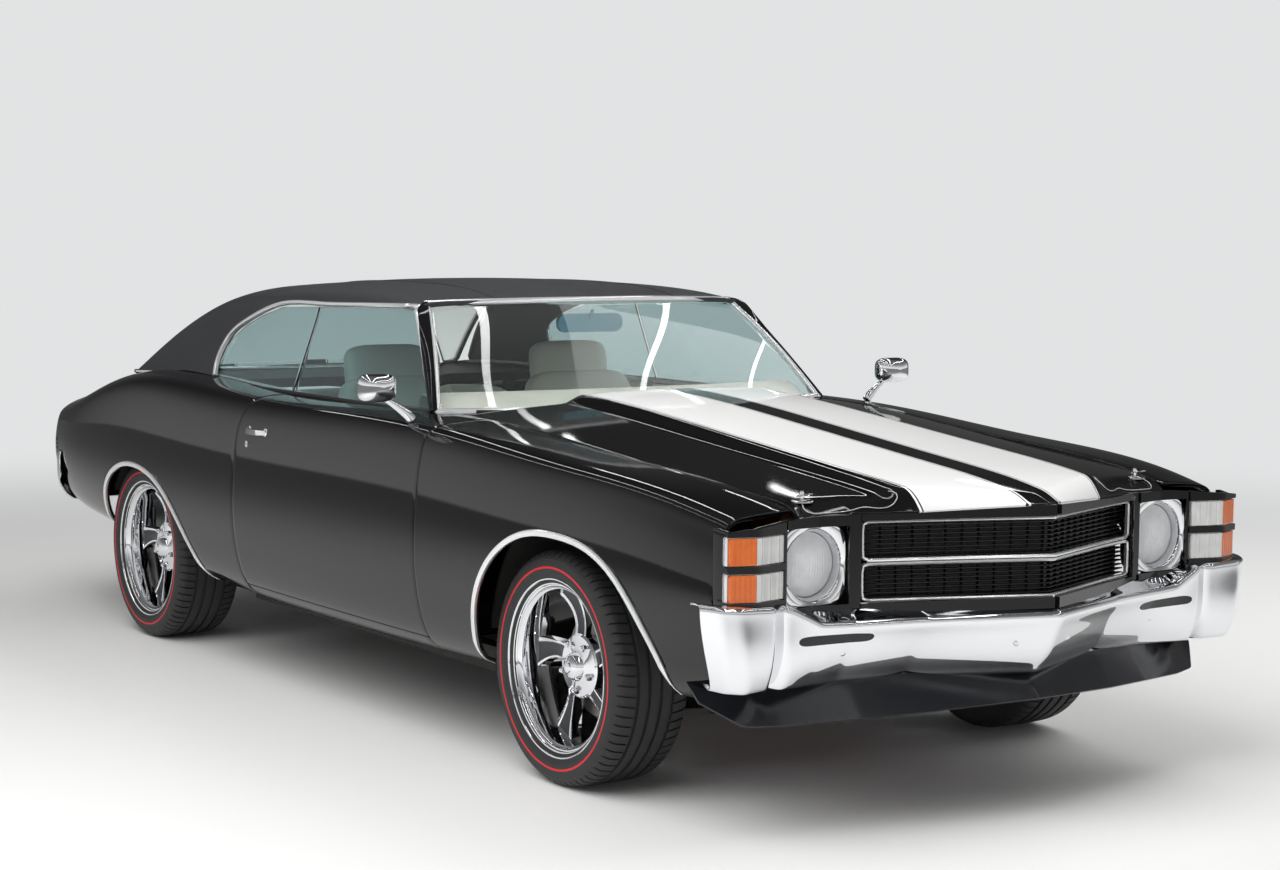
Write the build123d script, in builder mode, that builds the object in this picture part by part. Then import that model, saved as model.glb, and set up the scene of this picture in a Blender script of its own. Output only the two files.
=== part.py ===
"""A two-door hardtop muscle car, parked on its wheels. Millimetres, +X forward, +Y to its left, +Z up.
The tables measure x from a datum 1523 mm behind the front axle. Each piece is saved MID_X further back, so that
the origin is on the ground under the middle of the car's length."""

import os

from build123d import *

# Driving dimensions of the whole car
LENGTH = 5016.0
NOSE_X = 2592.0
MID_X = NOSE_X - LENGTH / 2
WHEELBASE = 2845.0
HALF_TRACK = 760.0
FRONT_AXLE_X = 1523.0
REAR_AXLE_X = FRONT_AXLE_X - WHEELBASE
AXLE_Z = 328.0

# Wheels and tyres
TYRE_R = 328.0
TYRE_HALF_WIDTH = 122.0
BEAD_R = 232.0
BEAD_HALF_WIDTH = 106.0
LIP_R = 250.0
RIM_HALF_WIDTH = 115.0
BARREL_WALL = 12.0
HUB_R = 64.0
HUB_BORE_R = 28.0
SPOKES = 5
SPOKE_BACK = 6.0
SPOKE_DEEP = 46.0
LUG_CIRCLE_R = 70.0
LUG_R = 11.0
LUG_LONG = 36.0
DISC_R = 150.0
STUB_R = 21.0
KINGPIN_Y = 700.0

# Chassis
RAIL_WIDE = 60.0
RAIL_HIGH = 74.0
TIP_R = 33.0
TIP_LONG = 120.0
FLOOR_SPLIT_X = -904.0

# Cross-members: x, half width, middle z, height
CROSS_MEMBERS = [(2240, 385, 420, 60), (560, 610, 249, 18), (-760, 610, 255, 28), (-2256, 450, 345, 50)]

# Panels
SKIN = 34.0
GAP = 6.0
DOOR_FRONT_X = 860.0
DOOR_REAR_X = -390.0
DOOR_LEAN = 32.0
DOOR_LEAN_Z = 830.0
WALL_Y = 716.0
PILLAR_FOOT_X = 530.0
PILLAR_FOOT_Y = 764.0
SILL_Z = 322.0
BELT_Z = 950.0
FENDER_FRONT_X = 2284.0
QUARTER_REAR_X = -2366.0
HOOD_THICK = 28.0
LIP_DEPTH = 9.0
GLASS_IN = 12.0
GLASS_OUT = 18.0
ROOF_SKIN = 40.0

# Body side stations: x, widest half width, shoulder y, shoulder z, top inner y, top inner z, bottom z
SIDE = [
    (2345, 882, 838, 806, 650, 822, 392),
    (2120, 912, 862, 848, 662, 860, 338),
    (FRONT_AXLE_X, 938, 872, 900, 680, 908, 288),
    (860, 950, 876, 945, 700, 958, 274),
    (150, 957, 872, 952, 700, 962, 270),
    (-390, 955, 868, 948, 700, 958, 272),
    (-960, 945, 858, 962, 700, 978, 290),
    (REAR_AXLE_X, 935, 845, 966, 690, 982, 320),
    (-1750, 912, 800, 925, 640, 955, 366),
    (-2130, 868, 735, 850, 620, 878, 384),
    (QUARTER_REAR_X, 822, 706, 812, 604, 832, 404),
]

# Cabin outlines by height: z, front centre x, front corner x, front corner y, rear corner x, rear corner y, rear centre x
CABIN = [
    (BELT_Z, 772, 622, 752, -1735, 735, -1640),
    (1120, 560, 440, 690, -1515, 650, -1405),
    (1245, 405, 310, 640, -1255, 575, -1140),
    (1298, 320, 230, 596, -1050, 492, -920),
    (1330, 140, 60, 450, -720, 360, -600),
    (1342, -60, -100, 230, -480, 200, -410),
]

# Wheel openings in side view: foot, edge, arc middle, top, arc middle, edge, foot
FRONT_ARCH = [(1140, 150), (1198, 478), (1290, 636), (1620, 708), (1876, 655), (2056, 465), (2150, 150)]
REAR_ARCH = [(-1745, 150), (-1613, 520), (-1500, 608), (-1260, 646), (-1020, 600), (-866, 483), (-560, 150)]

# Side window outline in side view, from its front foot, and the windscreen and rear window seen from the ends
SIDE_WINDOW = [(560, 930), (188, 1286), (-347, 1264), (-658, 1246), (-813, 1214), (-962, 1167), (-1034, 1090),
               (-1006, 978), (-800, 968), (-690, 930)]
WINDSCREEN_HALF = [(704, 968), (574, 1284)]
REAR_WINDOW_HALF = [(640, 975), (500, 1246)]

# Nose line in plan: distance from the middle, x of the header face
NOSE = [(0, 2550), (330, 2400), (480, 2338), (600, 2316), (700, 2322), (838, 2350), (884, 2330)]

# Front bumper in plan: distance from the middle, x at its bottom edge, at mid height and at its top edge
BUMPER = [
    (0, 2496, 2556, NOSE_X),
    (330, 2352, 2410, 2450),
    (530, 2322, 2368, 2396),
    (640, 2330, 2366, 2380),
    (720, 2352, 2378, 2382),
    (868, 2366, 2390, 2386),
    (925, 2338, 2354, 2352),
    (940, 2292, 2296, 2296),
]
BUMPER_LEVELS = (392, 480, 552)
BUMPER_END_TOP = 604
PLATE_HOLE_Y = 89
PLATE_HOLE_Z = 480
CHIN = [(0, 2515), (330, 2438), (500, 2390), (700, 2322), (768, 2292)]
REAR_BUMPER = [(0, -2424), (500, -2418), (700, -2404), (780, -2380), (830, -2320), (856, -2226)]

# Grille opening seen from the front: distance from the middle, z
GRILLE_HALF = [(0, 600), (468, 582), (468, 790), (0, 806)]

# Hood stations: x, half width, edge z, middle z
HOOD = [
    (2560, 624, 780, 838),
    (2400, 634, 818, 868),
    (2120, 654, 860, 908),
    (FRONT_AXLE_X, 672, 908, 964),
    (860, 692, 958, 1006),
    (690, 694, 962, 1008),
]

# Trunk lid stations: x, half width, edge z, middle z
DECK = [
    (-1640, 628, 966, 986),
    (-1750, 628, 952, 980),
    (-2130, 608, 878, 918),
    (-2376, 588, 826, 864),
]

os.makedirs("parts", exist_ok=True)


def save(name, shape):
    """Labels one finished piece and writes its file."""
    placed = Pos(-MID_X, 0, 0) * shape
    placed.label = name
    export_step(placed, f"parts/{name}.step")


def flip(shape):
    """The same piece on the other side of the car."""
    return mirror(shape, about=Plane.XZ)


def box(x0, x1, y0, y1, z0, z1):
    """A box between two corners."""
    return Pos((x0 + x1) / 2, (y0 + y1) / 2, (z0 + z1) / 2) * Box(x1 - x0, y1 - y0, z1 - z0)


def pair(shape):
    """One piece with its twin across the car, as two solids."""
    return Compound(children=[shape, flip(shape)])


def bar(start, end, radius):
    """A round bar between two points."""
    axis = Vector(*end) - Vector(*start)
    with BuildPart() as rod:
        with BuildSketch(Plane(origin=start, z_dir=axis)):
            Circle(radius)
        extrude(amount=axis.length)
    return rod.part


def outline_prism(plane, points, amount, both=False):
    """An extruded straight-edged outline."""
    with BuildPart() as prism:
        with BuildSketch(plane):
            with BuildLine():
                Polyline(*points, close=True)
            make_face()
        extrude(amount=amount, both=both)
    return prism.part


def plan_band(line, depth, z0, z1, wrap=None):
    """A band across the car that follows a plan line from its middle out, mirrored, between two heights."""
    wrap = abs(depth) if wrap is None else wrap
    front = [(x, y) for y, x in line]
    back = [(x - depth, y) for y, x in line[:-2]] + [(line[-1][1], line[-1][0] - wrap)]
    half = front + back[::-1]
    points = half + [(x, -y) for x, y in half[::-1][1:-1]]
    return outline_prism(Plane.XY.offset(z0), points, z1 - z0)


def side_chain(row):
    """Outer points of the body side at one station, from the bottom edge to the top inner edge."""
    x, wide, sh_y, sh_z, top_y, top_z, low_z = row
    return [
        (wide - 116, low_z),
        (wide - 44, low_z + 56),
        (wide, low_z + 0.46 * (sh_z - low_z)),
        (wide - 22, sh_z - 105),
        (wide - 38, sh_z - 36),
        (sh_y, sh_z),
        (top_y, top_z),
    ]


def skin_chain(row, depth):
    """Inner points of a panel of the given depth at one station, from the top inner edge to the bottom edge."""
    x, wide, sh_y, sh_z, top_y, top_z, low_z = row
    return [
        (top_y, top_z - depth),
        (sh_y - depth * 0.5, sh_z - depth),
        (wide - 46 - depth, sh_z - 42 - depth * 0.3),
        (wide - 22 - depth, sh_z - 105),
        (wide - depth, low_z + 0.46 * (sh_z - low_z)),
        (wide - 44 - depth, low_z + 56 + depth * 0.3),
        (wide - 122, low_z + depth * 0.9),
    ]


def body_side(full_depth):
    """The left body side as one long band: a skin, or a wall as thick as a whole door."""
    with BuildPart() as band:
        for row in SIDE:
            outer = side_chain(row)
            inner = skin_chain(row, SKIN)
            with BuildSketch(Plane.YZ.offset(row[0])):
                with BuildLine():
                    Line(outer[0], outer[1])
                    ThreePointArc(outer[1], outer[2], outer[3])
                    ThreePointArc(outer[3], outer[4], outer[5])
                    Line(outer[5], outer[6])
                    if full_depth:
                        Line(outer[6], (outer[6][0], outer[0][1]))
                        Line((outer[6][0], outer[0][1]), outer[0])
                    else:
                        Line(outer[6], inner[0])
                        Line(inner[0], inner[1])
                        ThreePointArc(inner[1], inner[2], inner[3])
                        ThreePointArc(inner[3], inner[4], inner[5])
                        Line(inner[5], inner[6])
                        Line(inner[6], outer[0])
                make_face()
        loft()
    return band.part


def arch_prism(points):
    """A wheel opening on the left side, from its side view outline."""
    with BuildPart() as cut:
        with BuildSketch(Plane.XZ.offset(-1000)):
            with BuildLine():
                Line(points[0], points[1])
                ThreePointArc(points[1], points[2], points[3])
                ThreePointArc(points[3], points[4], points[5])
                Line(points[5], points[6])
                Line(points[6], points[0])
            make_face()
        extrude(amount=380)
    return cut.part


def cabin_outline(row, inset):
    """One closed outline of the cabin, moved in by the inset."""
    z, front_x, front_side_x, front_y, rear_side_x, rear_y, rear_x = row
    mid_x = (front_side_x + rear_side_x) / 2
    mid_y = max(front_y, rear_y) + 8 - inset
    fs, rs, fy, ry = front_side_x - inset, rear_side_x + inset, front_y - inset, rear_y - inset
    with BuildLine() as line:
        ThreePointArc((fs, -fy), (front_x - inset, 0), (fs, fy))
        ThreePointArc((fs, fy), (mid_x, mid_y), (rs, ry))
        ThreePointArc((rs, ry), (rear_x + inset, 0), (rs, -ry))
        ThreePointArc((rs, -ry), (mid_x, -mid_y), (fs, -fy))
    return line.line


def cabin_solid(inset):
    """The greenhouse as one closed form, its walls moved in by the inset."""
    with BuildPart() as cabin:
        for row in CABIN:
            drop = inset * max(0.0, min(1.0, (row[0] - 1120) / 200))
            with BuildSketch(Plane.XY.offset(row[0] - drop)):
                add(make_face(cabin_outline(row, inset).edges()))
        loft()
    return cabin.part


def cabin_footprint(grow, z0, z1):
    """The cabin's outline at its foot, as an upright prism."""
    with BuildPart() as foot:
        with BuildSketch(Plane.XY.offset(z0)):
            add(make_face(cabin_outline(CABIN[0], -grow).edges()))
        extrude(amount=z1 - z0)
    return foot.part


def window_prisms(trim):
    """Openings for the side windows, the windscreen and the rear window, moved in by the trim."""
    cx = sum(p[0] for p in SIDE_WINDOW) / len(SIDE_WINDOW)
    cz = 1110.0
    side = [(x - trim * (1 if x > cx else -1), z - trim * (1 if z > cz else -1)) for x, z in SIDE_WINDOW]
    sides = outline_prism(Plane.XZ, side, 900, both=True)
    front = [(y - trim, z + trim * (1 if z < cz else -1)) for y, z in WINDSCREEN_HALF]
    rear = [(y - trim, z + trim * (1 if z < cz else -1)) for y, z in REAR_WINDOW_HALF]
    ends = []
    for half, plane_x, amount in ((front, 100, 900), (rear, -900, -1000)):
        points = [(half[0][0], half[0][1]), (half[1][0], half[1][1])] + [(-half[1][0], half[1][1]), (-half[0][0], half[0][1])]
        ends.append(outline_prism(Plane.YZ.offset(plane_x), points, amount))
    return sides, ends[0], ends[1]


def crowned_sheet(rows, thick):
    """A crowned panel lofted through stations across the car."""
    with BuildPart() as sheet:
        for x, half, edge_z, mid_z in rows:
            with BuildSketch(Plane.YZ.offset(x)):
                with BuildLine():
                    ThreePointArc((-half, edge_z), (0, mid_z), (half, edge_z))
                    Line((half, edge_z), (half, edge_z - thick))
                    ThreePointArc((half, edge_z - thick), (0, mid_z - thick), (-half, edge_z - thick))
                    Line((-half, edge_z - thick), (-half, edge_z))
                make_face()
        loft()
    return sheet.part


def nose_prism(line, back_x, shift, z0, z1):
    """Everything behind a plan line across the nose."""
    front = [(x + shift, y) for y, x in line]
    points = front + [(back_x, line[-1][0]), (back_x, -line[-1][0])] + [(x, -y) for x, y in front[::-1][:-1]]
    return outline_prism(Plane.XY.offset(z0), points, z1 - z0)


def rear_curve_prism(centre_x, corner_x, half, end_x, z0, z1):
    """A prism between an arc across the car and a far straight edge."""
    with BuildPart() as prism:
        with BuildSketch(Plane.XY.offset(z0)):
            with BuildLine():
                ThreePointArc((corner_x, -half), (centre_x, 0), (corner_x, half))
                Polyline((corner_x, half), (end_x, half), (end_x, -half), (corner_x, -half))
            make_face()
        extrude(amount=z1 - z0)
    return prism.part


def behind_door(shift, reach):
    """Everything behind the door's rear edge, which leans forward towards the belt."""
    edge = [(DOOR_REAR_X + shift, 190), (DOOR_REAR_X + shift, DOOR_LEAN_Z), (DOOR_REAR_X + DOOR_LEAN + shift, BELT_Z),
            (DOOR_REAR_X + DOOR_LEAN + shift, 1010)]
    return outline_prism(Plane.XZ.offset(-1000), edge + [(reach, 1010), (reach, 190)], 500)


def make_body_panels(skin, wall):
    """Fenders, doors and quarter panels, parted from one band so that their gaps are even and flush."""
    front_arch = arch_prism(FRONT_ARCH)
    rear_arch = arch_prism(REAR_ARCH)
    fender = (skin & box(DOOR_FRONT_X + GAP / 2, FENDER_FRONT_X, 600, 1000, 200, 1000)) - front_arch
    fender -= hood_plan(GAP)

    door = wall & box(-480, DOOR_FRONT_X - GAP / 2, WALL_Y, 1000, SILL_Z, 1000)
    door -= behind_door(GAP / 2, -700)
    door -= box(PILLAR_FOOT_X, DOOR_FRONT_X, WALL_Y - 1, PILLAR_FOOT_Y, SILL_Z - 1, 1000)
    shut = [(DOOR_REAR_X, WALL_Y - 2), (DOOR_REAR_X + 24, WALL_Y - 2), (DOOR_REAR_X + GAP / 2, 900), (DOOR_REAR_X, 900)]
    door -= outline_prism(Plane.XY.offset(SILL_Z - 2), shut, 700)
    door -= cabin_footprint(GAP / 2, BELT_Z - 4, 1010)

    quarter = skin & behind_door(-GAP / 2, QUARTER_REAR_X)
    quarter -= cabin_footprint(GAP / 2, 800, 1100) & box(-2600, -1000, 500, 1000, 800, 1100)
    cabin_wall = wall & behind_door(-GAP / 2, -960)
    cabin_wall -= box(-1000, 0, 0, WALL_Y, 100, 1100)
    rocker = wall & box(DOOR_REAR_X - 200, DOOR_FRONT_X - GAP / 2, WALL_Y, 1000, 200, SILL_Z - GAP)
    quarter = (quarter + cabin_wall + rocker) - rear_arch
    quarter -= deck_keepout()
    quarter -= box(QUARTER_REAR_X - 20, QUARTER_REAR_X + 150, 500, 1000, 300, 618)
    return fender, door, quarter


def hood_plan(grow):
    """The hood's outline in plan as a prism, grown by a gap."""
    sides = [(x, half + grow) for x, half, edge, mid in HOOD]
    points = sides + [(x, -y) for x, y in sides[::-1]]
    return outline_prism(Plane.XY.offset(600), points, 500)


def deck_keepout():
    """The room that the trunk lid takes beside the quarter panel."""
    sides = [(x, half + GAP) for x, half, edge, mid in DECK]
    points = sides + [(x, -y) for x, y in sides[::-1]]
    return outline_prism(Plane.XY.offset(700), points, 500)


def make_hood():
    """The hood, crowned, with a V nose and a curved rear edge."""
    sheet = crowned_sheet(HOOD, HOOD_THICK)
    nose = nose_prism(NOSE, 600, -LIP_DEPTH - GAP, 600, 1100)
    rear = rear_curve_prism(838, 730, 720, 2700, 600, 1100)
    return sheet & nose & rear


def make_trunk_lid():
    """The trunk lid, crowned, its front edge following the rear window's foot."""
    sheet = crowned_sheet(DECK, HOOD_THICK)
    cut = rear_curve_prism(-1690, -1780, 700, QUARTER_REAR_X + 14, 600, 1100)
    return sheet & cut


def make_deck_filler():
    """The painted strip between the rear window's foot and the trunk lid."""
    strip = rear_curve_prism(-1690 + GAP, -1764 + GAP, 634, -1560, 922, 960)
    return strip - cabin_footprint(1, 900, 1000)


def make_cowl():
    """The cowl between hood and windscreen, with the pillars that carry the door hinges."""
    foot_x = PILLAR_FOOT_X + GAP
    top = rear_curve_prism(838 - GAP, 730 - GAP, 720, foot_x, 900, BELT_Z)
    ears = box(foot_x, DOOR_FRONT_X - 130, 700, PILLAR_FOOT_Y - GAP - 2, 900, BELT_Z)
    post = box(DOOR_FRONT_X + GAP, DOOR_FRONT_X + 60, 640, 852, 330, 900)
    brace = box(DOOR_FRONT_X - 180, DOOR_FRONT_X + 20, 640, 700, 860, 901)
    inside = cabin_footprint(-90, 840, 960)
    return top + pair_fused(ears) + pair_fused(post) + pair_fused(brace) - inside


def pair_fused(shape):
    """A shape together with its mirror image."""
    return shape + flip(shape)


def front_prism(half, back_x, front_x):
    """A prism along the car whose front view outline is given for the left half, mirrored."""
    points = half + [(-y, z) for y, z in half[::-1] if y > 0]
    return outline_prism(Plane.YZ.offset(back_x), points, front_x - back_x)


def make_header():
    """The painted nose panel with its thin upper lip, pierced for the grille and the lamps."""
    lip = plan_band(NOSE, LIP_DEPTH, 560, 850)
    face = plan_band([(y, x - LIP_DEPTH + 1) for y, x in NOSE], 38, 560, 786)
    brow = front_prism([(0, 540), (910, 540), (910, 796), (640, 818), (330, 822), (0, 838)], 2150, 2650)
    panel = (lip + face) & brow
    lamp_gap = box(2200, 2600, 505, 699, 586, 792)
    marker_gap = box(2200, 2600, 736, 900, 626, 783)
    bumper_gap = box(2200, 2600, 640, 920, 540, BUMPER_END_TOP + 10)
    panel -= front_prism(GRILLE_HALF, 2150, 2650)
    return panel - pair_fused(lamp_gap) - pair_fused(marker_gap) - pair_fused(bumper_gap)


def make_grille():
    """Fine level bars on uprights behind three bright trims, all following the V of the nose."""
    line = NOSE[:2] + [(466, 2344)]
    trim_line = [(y, x - 4) for y, x in line]
    bar_line = [(y, x - 16) for y, x in line]
    bars = plan_band([(y, x - 34) for y, x in line], 8, 586, 800)
    for z in range(598, 796, 12):
        bars += plan_band(bar_line, 20, z, z + 3)
    for z in (582, 686, 790):
        bars += plan_band(trim_line, 32, z, z + 9)
    for y, x in ((-464, 2324), (-235, 2420), (235, 2420), (464, 2324)):
        bars += box(x - 20, x + 16, y - 3, y + 3, 588, 800)
    return bars & front_prism([(0, 602), (466, 584), (466, 788), (0, 804)], 2150, 2650)


def make_headlamp():
    """One round lamp with its domed lens."""
    with BuildPart() as lamp:
        with BuildSketch(Plane.XY):
            with BuildLine():
                Polyline((8, 84), (8, 0), (66, 0), (85, 40), (85, 64))
                ThreePointArc((85, 64), (50, 77), (8, 84))
            make_face()
            with Locations((4, 42)):
                Rectangle(8, 84)
        revolve(axis=Axis.Y)
    return Pos(2246, 602, 689) * Rot(0, 0, -90) * lamp.part


def make_bezel():
    """A rounded square bezel round one lamp."""
    with BuildPart() as bezel:
        with BuildSketch(Plane.YZ.offset(2292)):
            with Locations((602, 689)):
                RectangleRounded(190, 202, 46)
                Circle(86.5, mode=Mode.SUBTRACT)
        extrude(amount=44)
    return bezel.part


def make_marker():
    """Two stacked lamps that wrap the corner of the nose."""
    lamp = plan_band(NOSE, 40, 630, 702) & box(2200, 2600, 740, 886, 600, 800)
    lamp += plan_band(NOSE, 40, 708, 780) & box(2200, 2600, 740, 886, 600, 800)
    return lamp + box(2294, 2340, 744, 832, 640, 770)


def bumper_outline(column, wrap=34, depth=30):
    """The bumper's closed plan outline at one level, from a column of its table."""
    line = [(row[0], row[column]) for row in BUMPER]
    front = [(x, y) for y, x in line]
    back = [(x - depth, y) for y, x in line[:-2]] + [(line[-1][1], line[-1][0] - wrap)]
    half = front + back[::-1]
    return half + [(x, -y) for x, y in half[::-1][1:-1]]


def make_front_bumper():
    """A V-nosed bumper whose face slopes back to its foot and whose ends stand taller than its middle."""
    with BuildPart() as bumper:
        for column, z in enumerate(BUMPER_LEVELS, 1):
            with BuildSketch(Plane.XY.offset(z)):
                with BuildLine():
                    Polyline(*bumper_outline(column), close=True)
                make_face()
        loft(ruled=True)
        with BuildSketch(Plane.XY.offset(BUMPER_LEVELS[-1])):
            with BuildLine():
                Polyline(*bumper_outline(3), close=True)
            make_face()
        extrude(amount=BUMPER_END_TOP - BUMPER_LEVELS[-1])
    dip = [(-690, 700), (-650, BUMPER_LEVELS[-1]), (650, BUMPER_LEVELS[-1]), (690, 700)]
    band = bumper.part - outline_prism(Plane.YZ.offset(2200), dip, 420)
    with BuildPart() as holes:
        with BuildSketch(Plane.YZ.offset(2300)):
            with Locations((-PLATE_HOLE_Y, PLATE_HOLE_Z), (PLATE_HOLE_Y, PLATE_HOLE_Z)):
                Circle(6)
        extrude(amount=300)
    return band - holes.part


def make_rear_bumper():
    """A rear bumper with two round lamp pockets at each end."""
    band = plan_band(REAR_BUMPER, -30, 398, 612, 24)
    with BuildPart() as pockets:
        with BuildSketch(Plane.YZ.offset(-2600)):
            with Locations((420, 520), (600, 520), (-420, 520), (-600, 520)):
                Circle(66)
        extrude(amount=300)
    return band - pockets.part


def make_tail_lamps():
    """Four round lamps in the pockets of the rear bumper."""
    lamps = []
    for y in (-600, -420, 420, 600):
        with BuildPart() as lamp:
            with BuildSketch(Plane.YZ.offset(-2410)):
                with Locations((y, 520)):
                    Circle(66)
            extrude(amount=48)
        lamps.append(lamp.part)
    return Compound(children=lamps)


def make_chin():
    """The chin spoiler: a blade under the bumper that slopes forward to its lip."""
    def outline(shift):
        front = [(x + shift, y) for y, x in CHIN]
        half = front + [(x - 26, y) for x, y in front[::-1]]
        return half + [(x, -y) for x, y in half[::-1][1:-1]]
    with BuildPart() as blade:
        for z, shift in ((296, 0), (384, -74)):
            with BuildSketch(Plane.XY.offset(z)):
                with BuildLine():
                    Polyline(*outline(shift), close=True)
                make_face()
        loft(ruled=True)
    return blade.part


def make_roof(shell, sides, front, rear):
    """The roof with its pillars: the greenhouse less its windows."""
    return shell - sides - front - rear


def make_tyre():
    """A tyre on the wheel's own axis, with tread grooves."""
    w, r, bead = TYRE_HALF_WIDTH, TYRE_R, BEAD_HALF_WIDTH
    with BuildPart() as tyre:
        with BuildSketch(Plane.XY):
            with BuildLine():
                Line((BEAD_R, -bead), (BEAD_R, bead))
                Line((BEAD_R, bead), (BEAD_R + 22, bead + 2))
                ThreePointArc((BEAD_R + 22, bead + 2), (BEAD_R + 56, w), (r - 14, w - 10))
                Line((r - 14, w - 10), (r, w - 26))
                Line((r, w - 26), (r, -w + 26))
                Line((r, -w + 26), (r - 14, -w + 10))
                ThreePointArc((r - 14, -w + 10), (BEAD_R + 56, -w), (BEAD_R + 22, -bead - 2))
                Line((BEAD_R + 22, -bead - 2), (BEAD_R, -bead))
            make_face()
            for y in (-50, -17, 17, 50):
                with Locations((r - 2, y)):
                    Rectangle(10, 9, mode=Mode.SUBTRACT)
        revolve(axis=Axis.Y)
    return tyre.part


def make_rim():
    """A deep-dish wheel with five spokes, its hub and brake disc, outer face towards +Y."""
    w = RIM_HALF_WIDTH
    inner = BEAD_R - BARREL_WALL
    with BuildPart() as rim:
        with BuildSketch(Plane.XY):
            with BuildLine():
                Polyline((BEAD_R - 0.5, -w), (BEAD_R - 0.5, w), (inner, w), (inner - 12, 0), (inner, -w), close=True)
            make_face()
            for side in (-1, 1):
                with Locations(((inner + LIP_R) / 2, side * (w - 3))):
                    Rectangle(LIP_R - inner, 6)
        revolve(axis=Axis.Y)
        with BuildSketch(Plane.XY):
            with BuildLine():
                Polyline((HUB_BORE_R, -26), (82, -26), (82, -38), (DISC_R, -38), (DISC_R, -26), (92, -26),
                         (92, 20), (HUB_R, 52), (46, 74), (0, 80), (0, 60), (HUB_BORE_R, 60), close=True)
            make_face()
        revolve(axis=Axis.Y)
        with BuildSketch(Plane.XZ.offset(SPOKE_BACK)):
            with BuildLine():
                ThreePointArc((52, -34), (130, -12), (212, -16))
                Line((212, -16), (208, 52))
                ThreePointArc((208, 52), (130, 32), (52, 34))
                Line((52, 34), (52, -34))
            blade = make_face(mode=Mode.PRIVATE)
            with PolarLocations(0, SPOKES, start_angle=18):
                add(blade)
        extrude(amount=-SPOKE_DEEP)
        with BuildSketch(Plane.XY):
            with BuildLine():
                ThreePointArc((96, 44), (150, 22), (204, 44))
                Line((204, 44), (96, 44))
            make_face()
        revolve(axis=Axis.Y, mode=Mode.SUBTRACT)
        with BuildSketch(Plane.XZ.offset(-20)):
            with PolarLocations(LUG_CIRCLE_R, SPOKES, start_angle=54):
                Circle(LUG_R)
        extrude(amount=-LUG_LONG)
    return rim.part


def place_wheel(shape, x, side):
    """A wheel piece moved to its axle, its outer face away from the car."""
    moved = Pos(x, HALF_TRACK, AXLE_Z) * shape
    return moved if side > 0 else flip(moved)


def make_knuckle():
    """The left steering knuckle: kingpin post, stub axle and steering arm."""
    post = bar((FRONT_AXLE_X, KINGPIN_Y, 202), (FRONT_AXLE_X, KINGPIN_Y, 458), 20)
    block = box(FRONT_AXLE_X - 30, FRONT_AXLE_X + 30, KINGPIN_Y - 18, KINGPIN_Y + 14, 270, 390)
    stub = bar((FRONT_AXLE_X, KINGPIN_Y, AXLE_Z), (FRONT_AXLE_X, HALF_TRACK + 54, AXLE_Z), STUB_R)
    arm = box(FRONT_AXLE_X - 130, FRONT_AXLE_X - 8, KINGPIN_Y - 28, KINGPIN_Y - 6, 274, 294)
    return post + block + stub + arm


def make_control_arms():
    """Upper and lower arms of the front suspension, on the frame's cross-member."""
    x = FRONT_AXLE_X
    lower = outline_prism(Plane.XY.offset(172), [(x - 120, 440), (x + 120, 440), (x + 20, 706), (x - 20, 706)], 22)
    upper = outline_prism(Plane.XY.offset(464), [(x - 90, 440), (x + 90, 440), (x + 20, 706), (x - 20, 706)], 20)
    return Compound(children=[lower, flip(lower), upper, flip(upper)])


def make_rails():
    """The two bent box rails of the perimeter frame."""
    route = [(2280, 415, 420), (1900, 415, 420), (1300, 415, 380), (1130, 430, 300), (1000, 560, 232), (860, 640, 232),
             (-820, 640, 232), (-980, 540, 300), (-1130, 500, 440), (-1540, 500, 440), (-1740, 480, 345),
             (-2310, 480, 345)]
    wide, high = RAIL_WIDE / 2, RAIL_HIGH / 2
    plan = [(x, y + wide) for x, y, z in route] + [(x, y - wide) for x, y, z in route[::-1]]
    side = [(x, z + high) for x, y, z in route] + [(x, z - high) for x, y, z in route[::-1]]
    rail = outline_prism(Plane.XY.offset(150), plan, 400) & outline_prism(Plane.XZ.offset(-800), side, 500)
    return pair(rail)


def make_cross_members():
    """Members between the rails, the front one with the towers that carry the suspension arms."""
    members = [box(x - 45, x + 45, -half, half, z - high / 2, z + high / 2) for x, half, z, high in CROSS_MEMBERS]
    front = box(FRONT_AXLE_X - 45, FRONT_AXLE_X + 45, -440, 440, 195, 269)
    front += pair_fused(box(FRONT_AXLE_X - 110, FRONT_AXLE_X + 110, 400, 440, 172, 500))
    front -= pair_fused(box(FRONT_AXLE_X - 120, FRONT_AXLE_X + 120, 380, 445, 340, 450))
    return Compound(children=members + front.solids())


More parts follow.
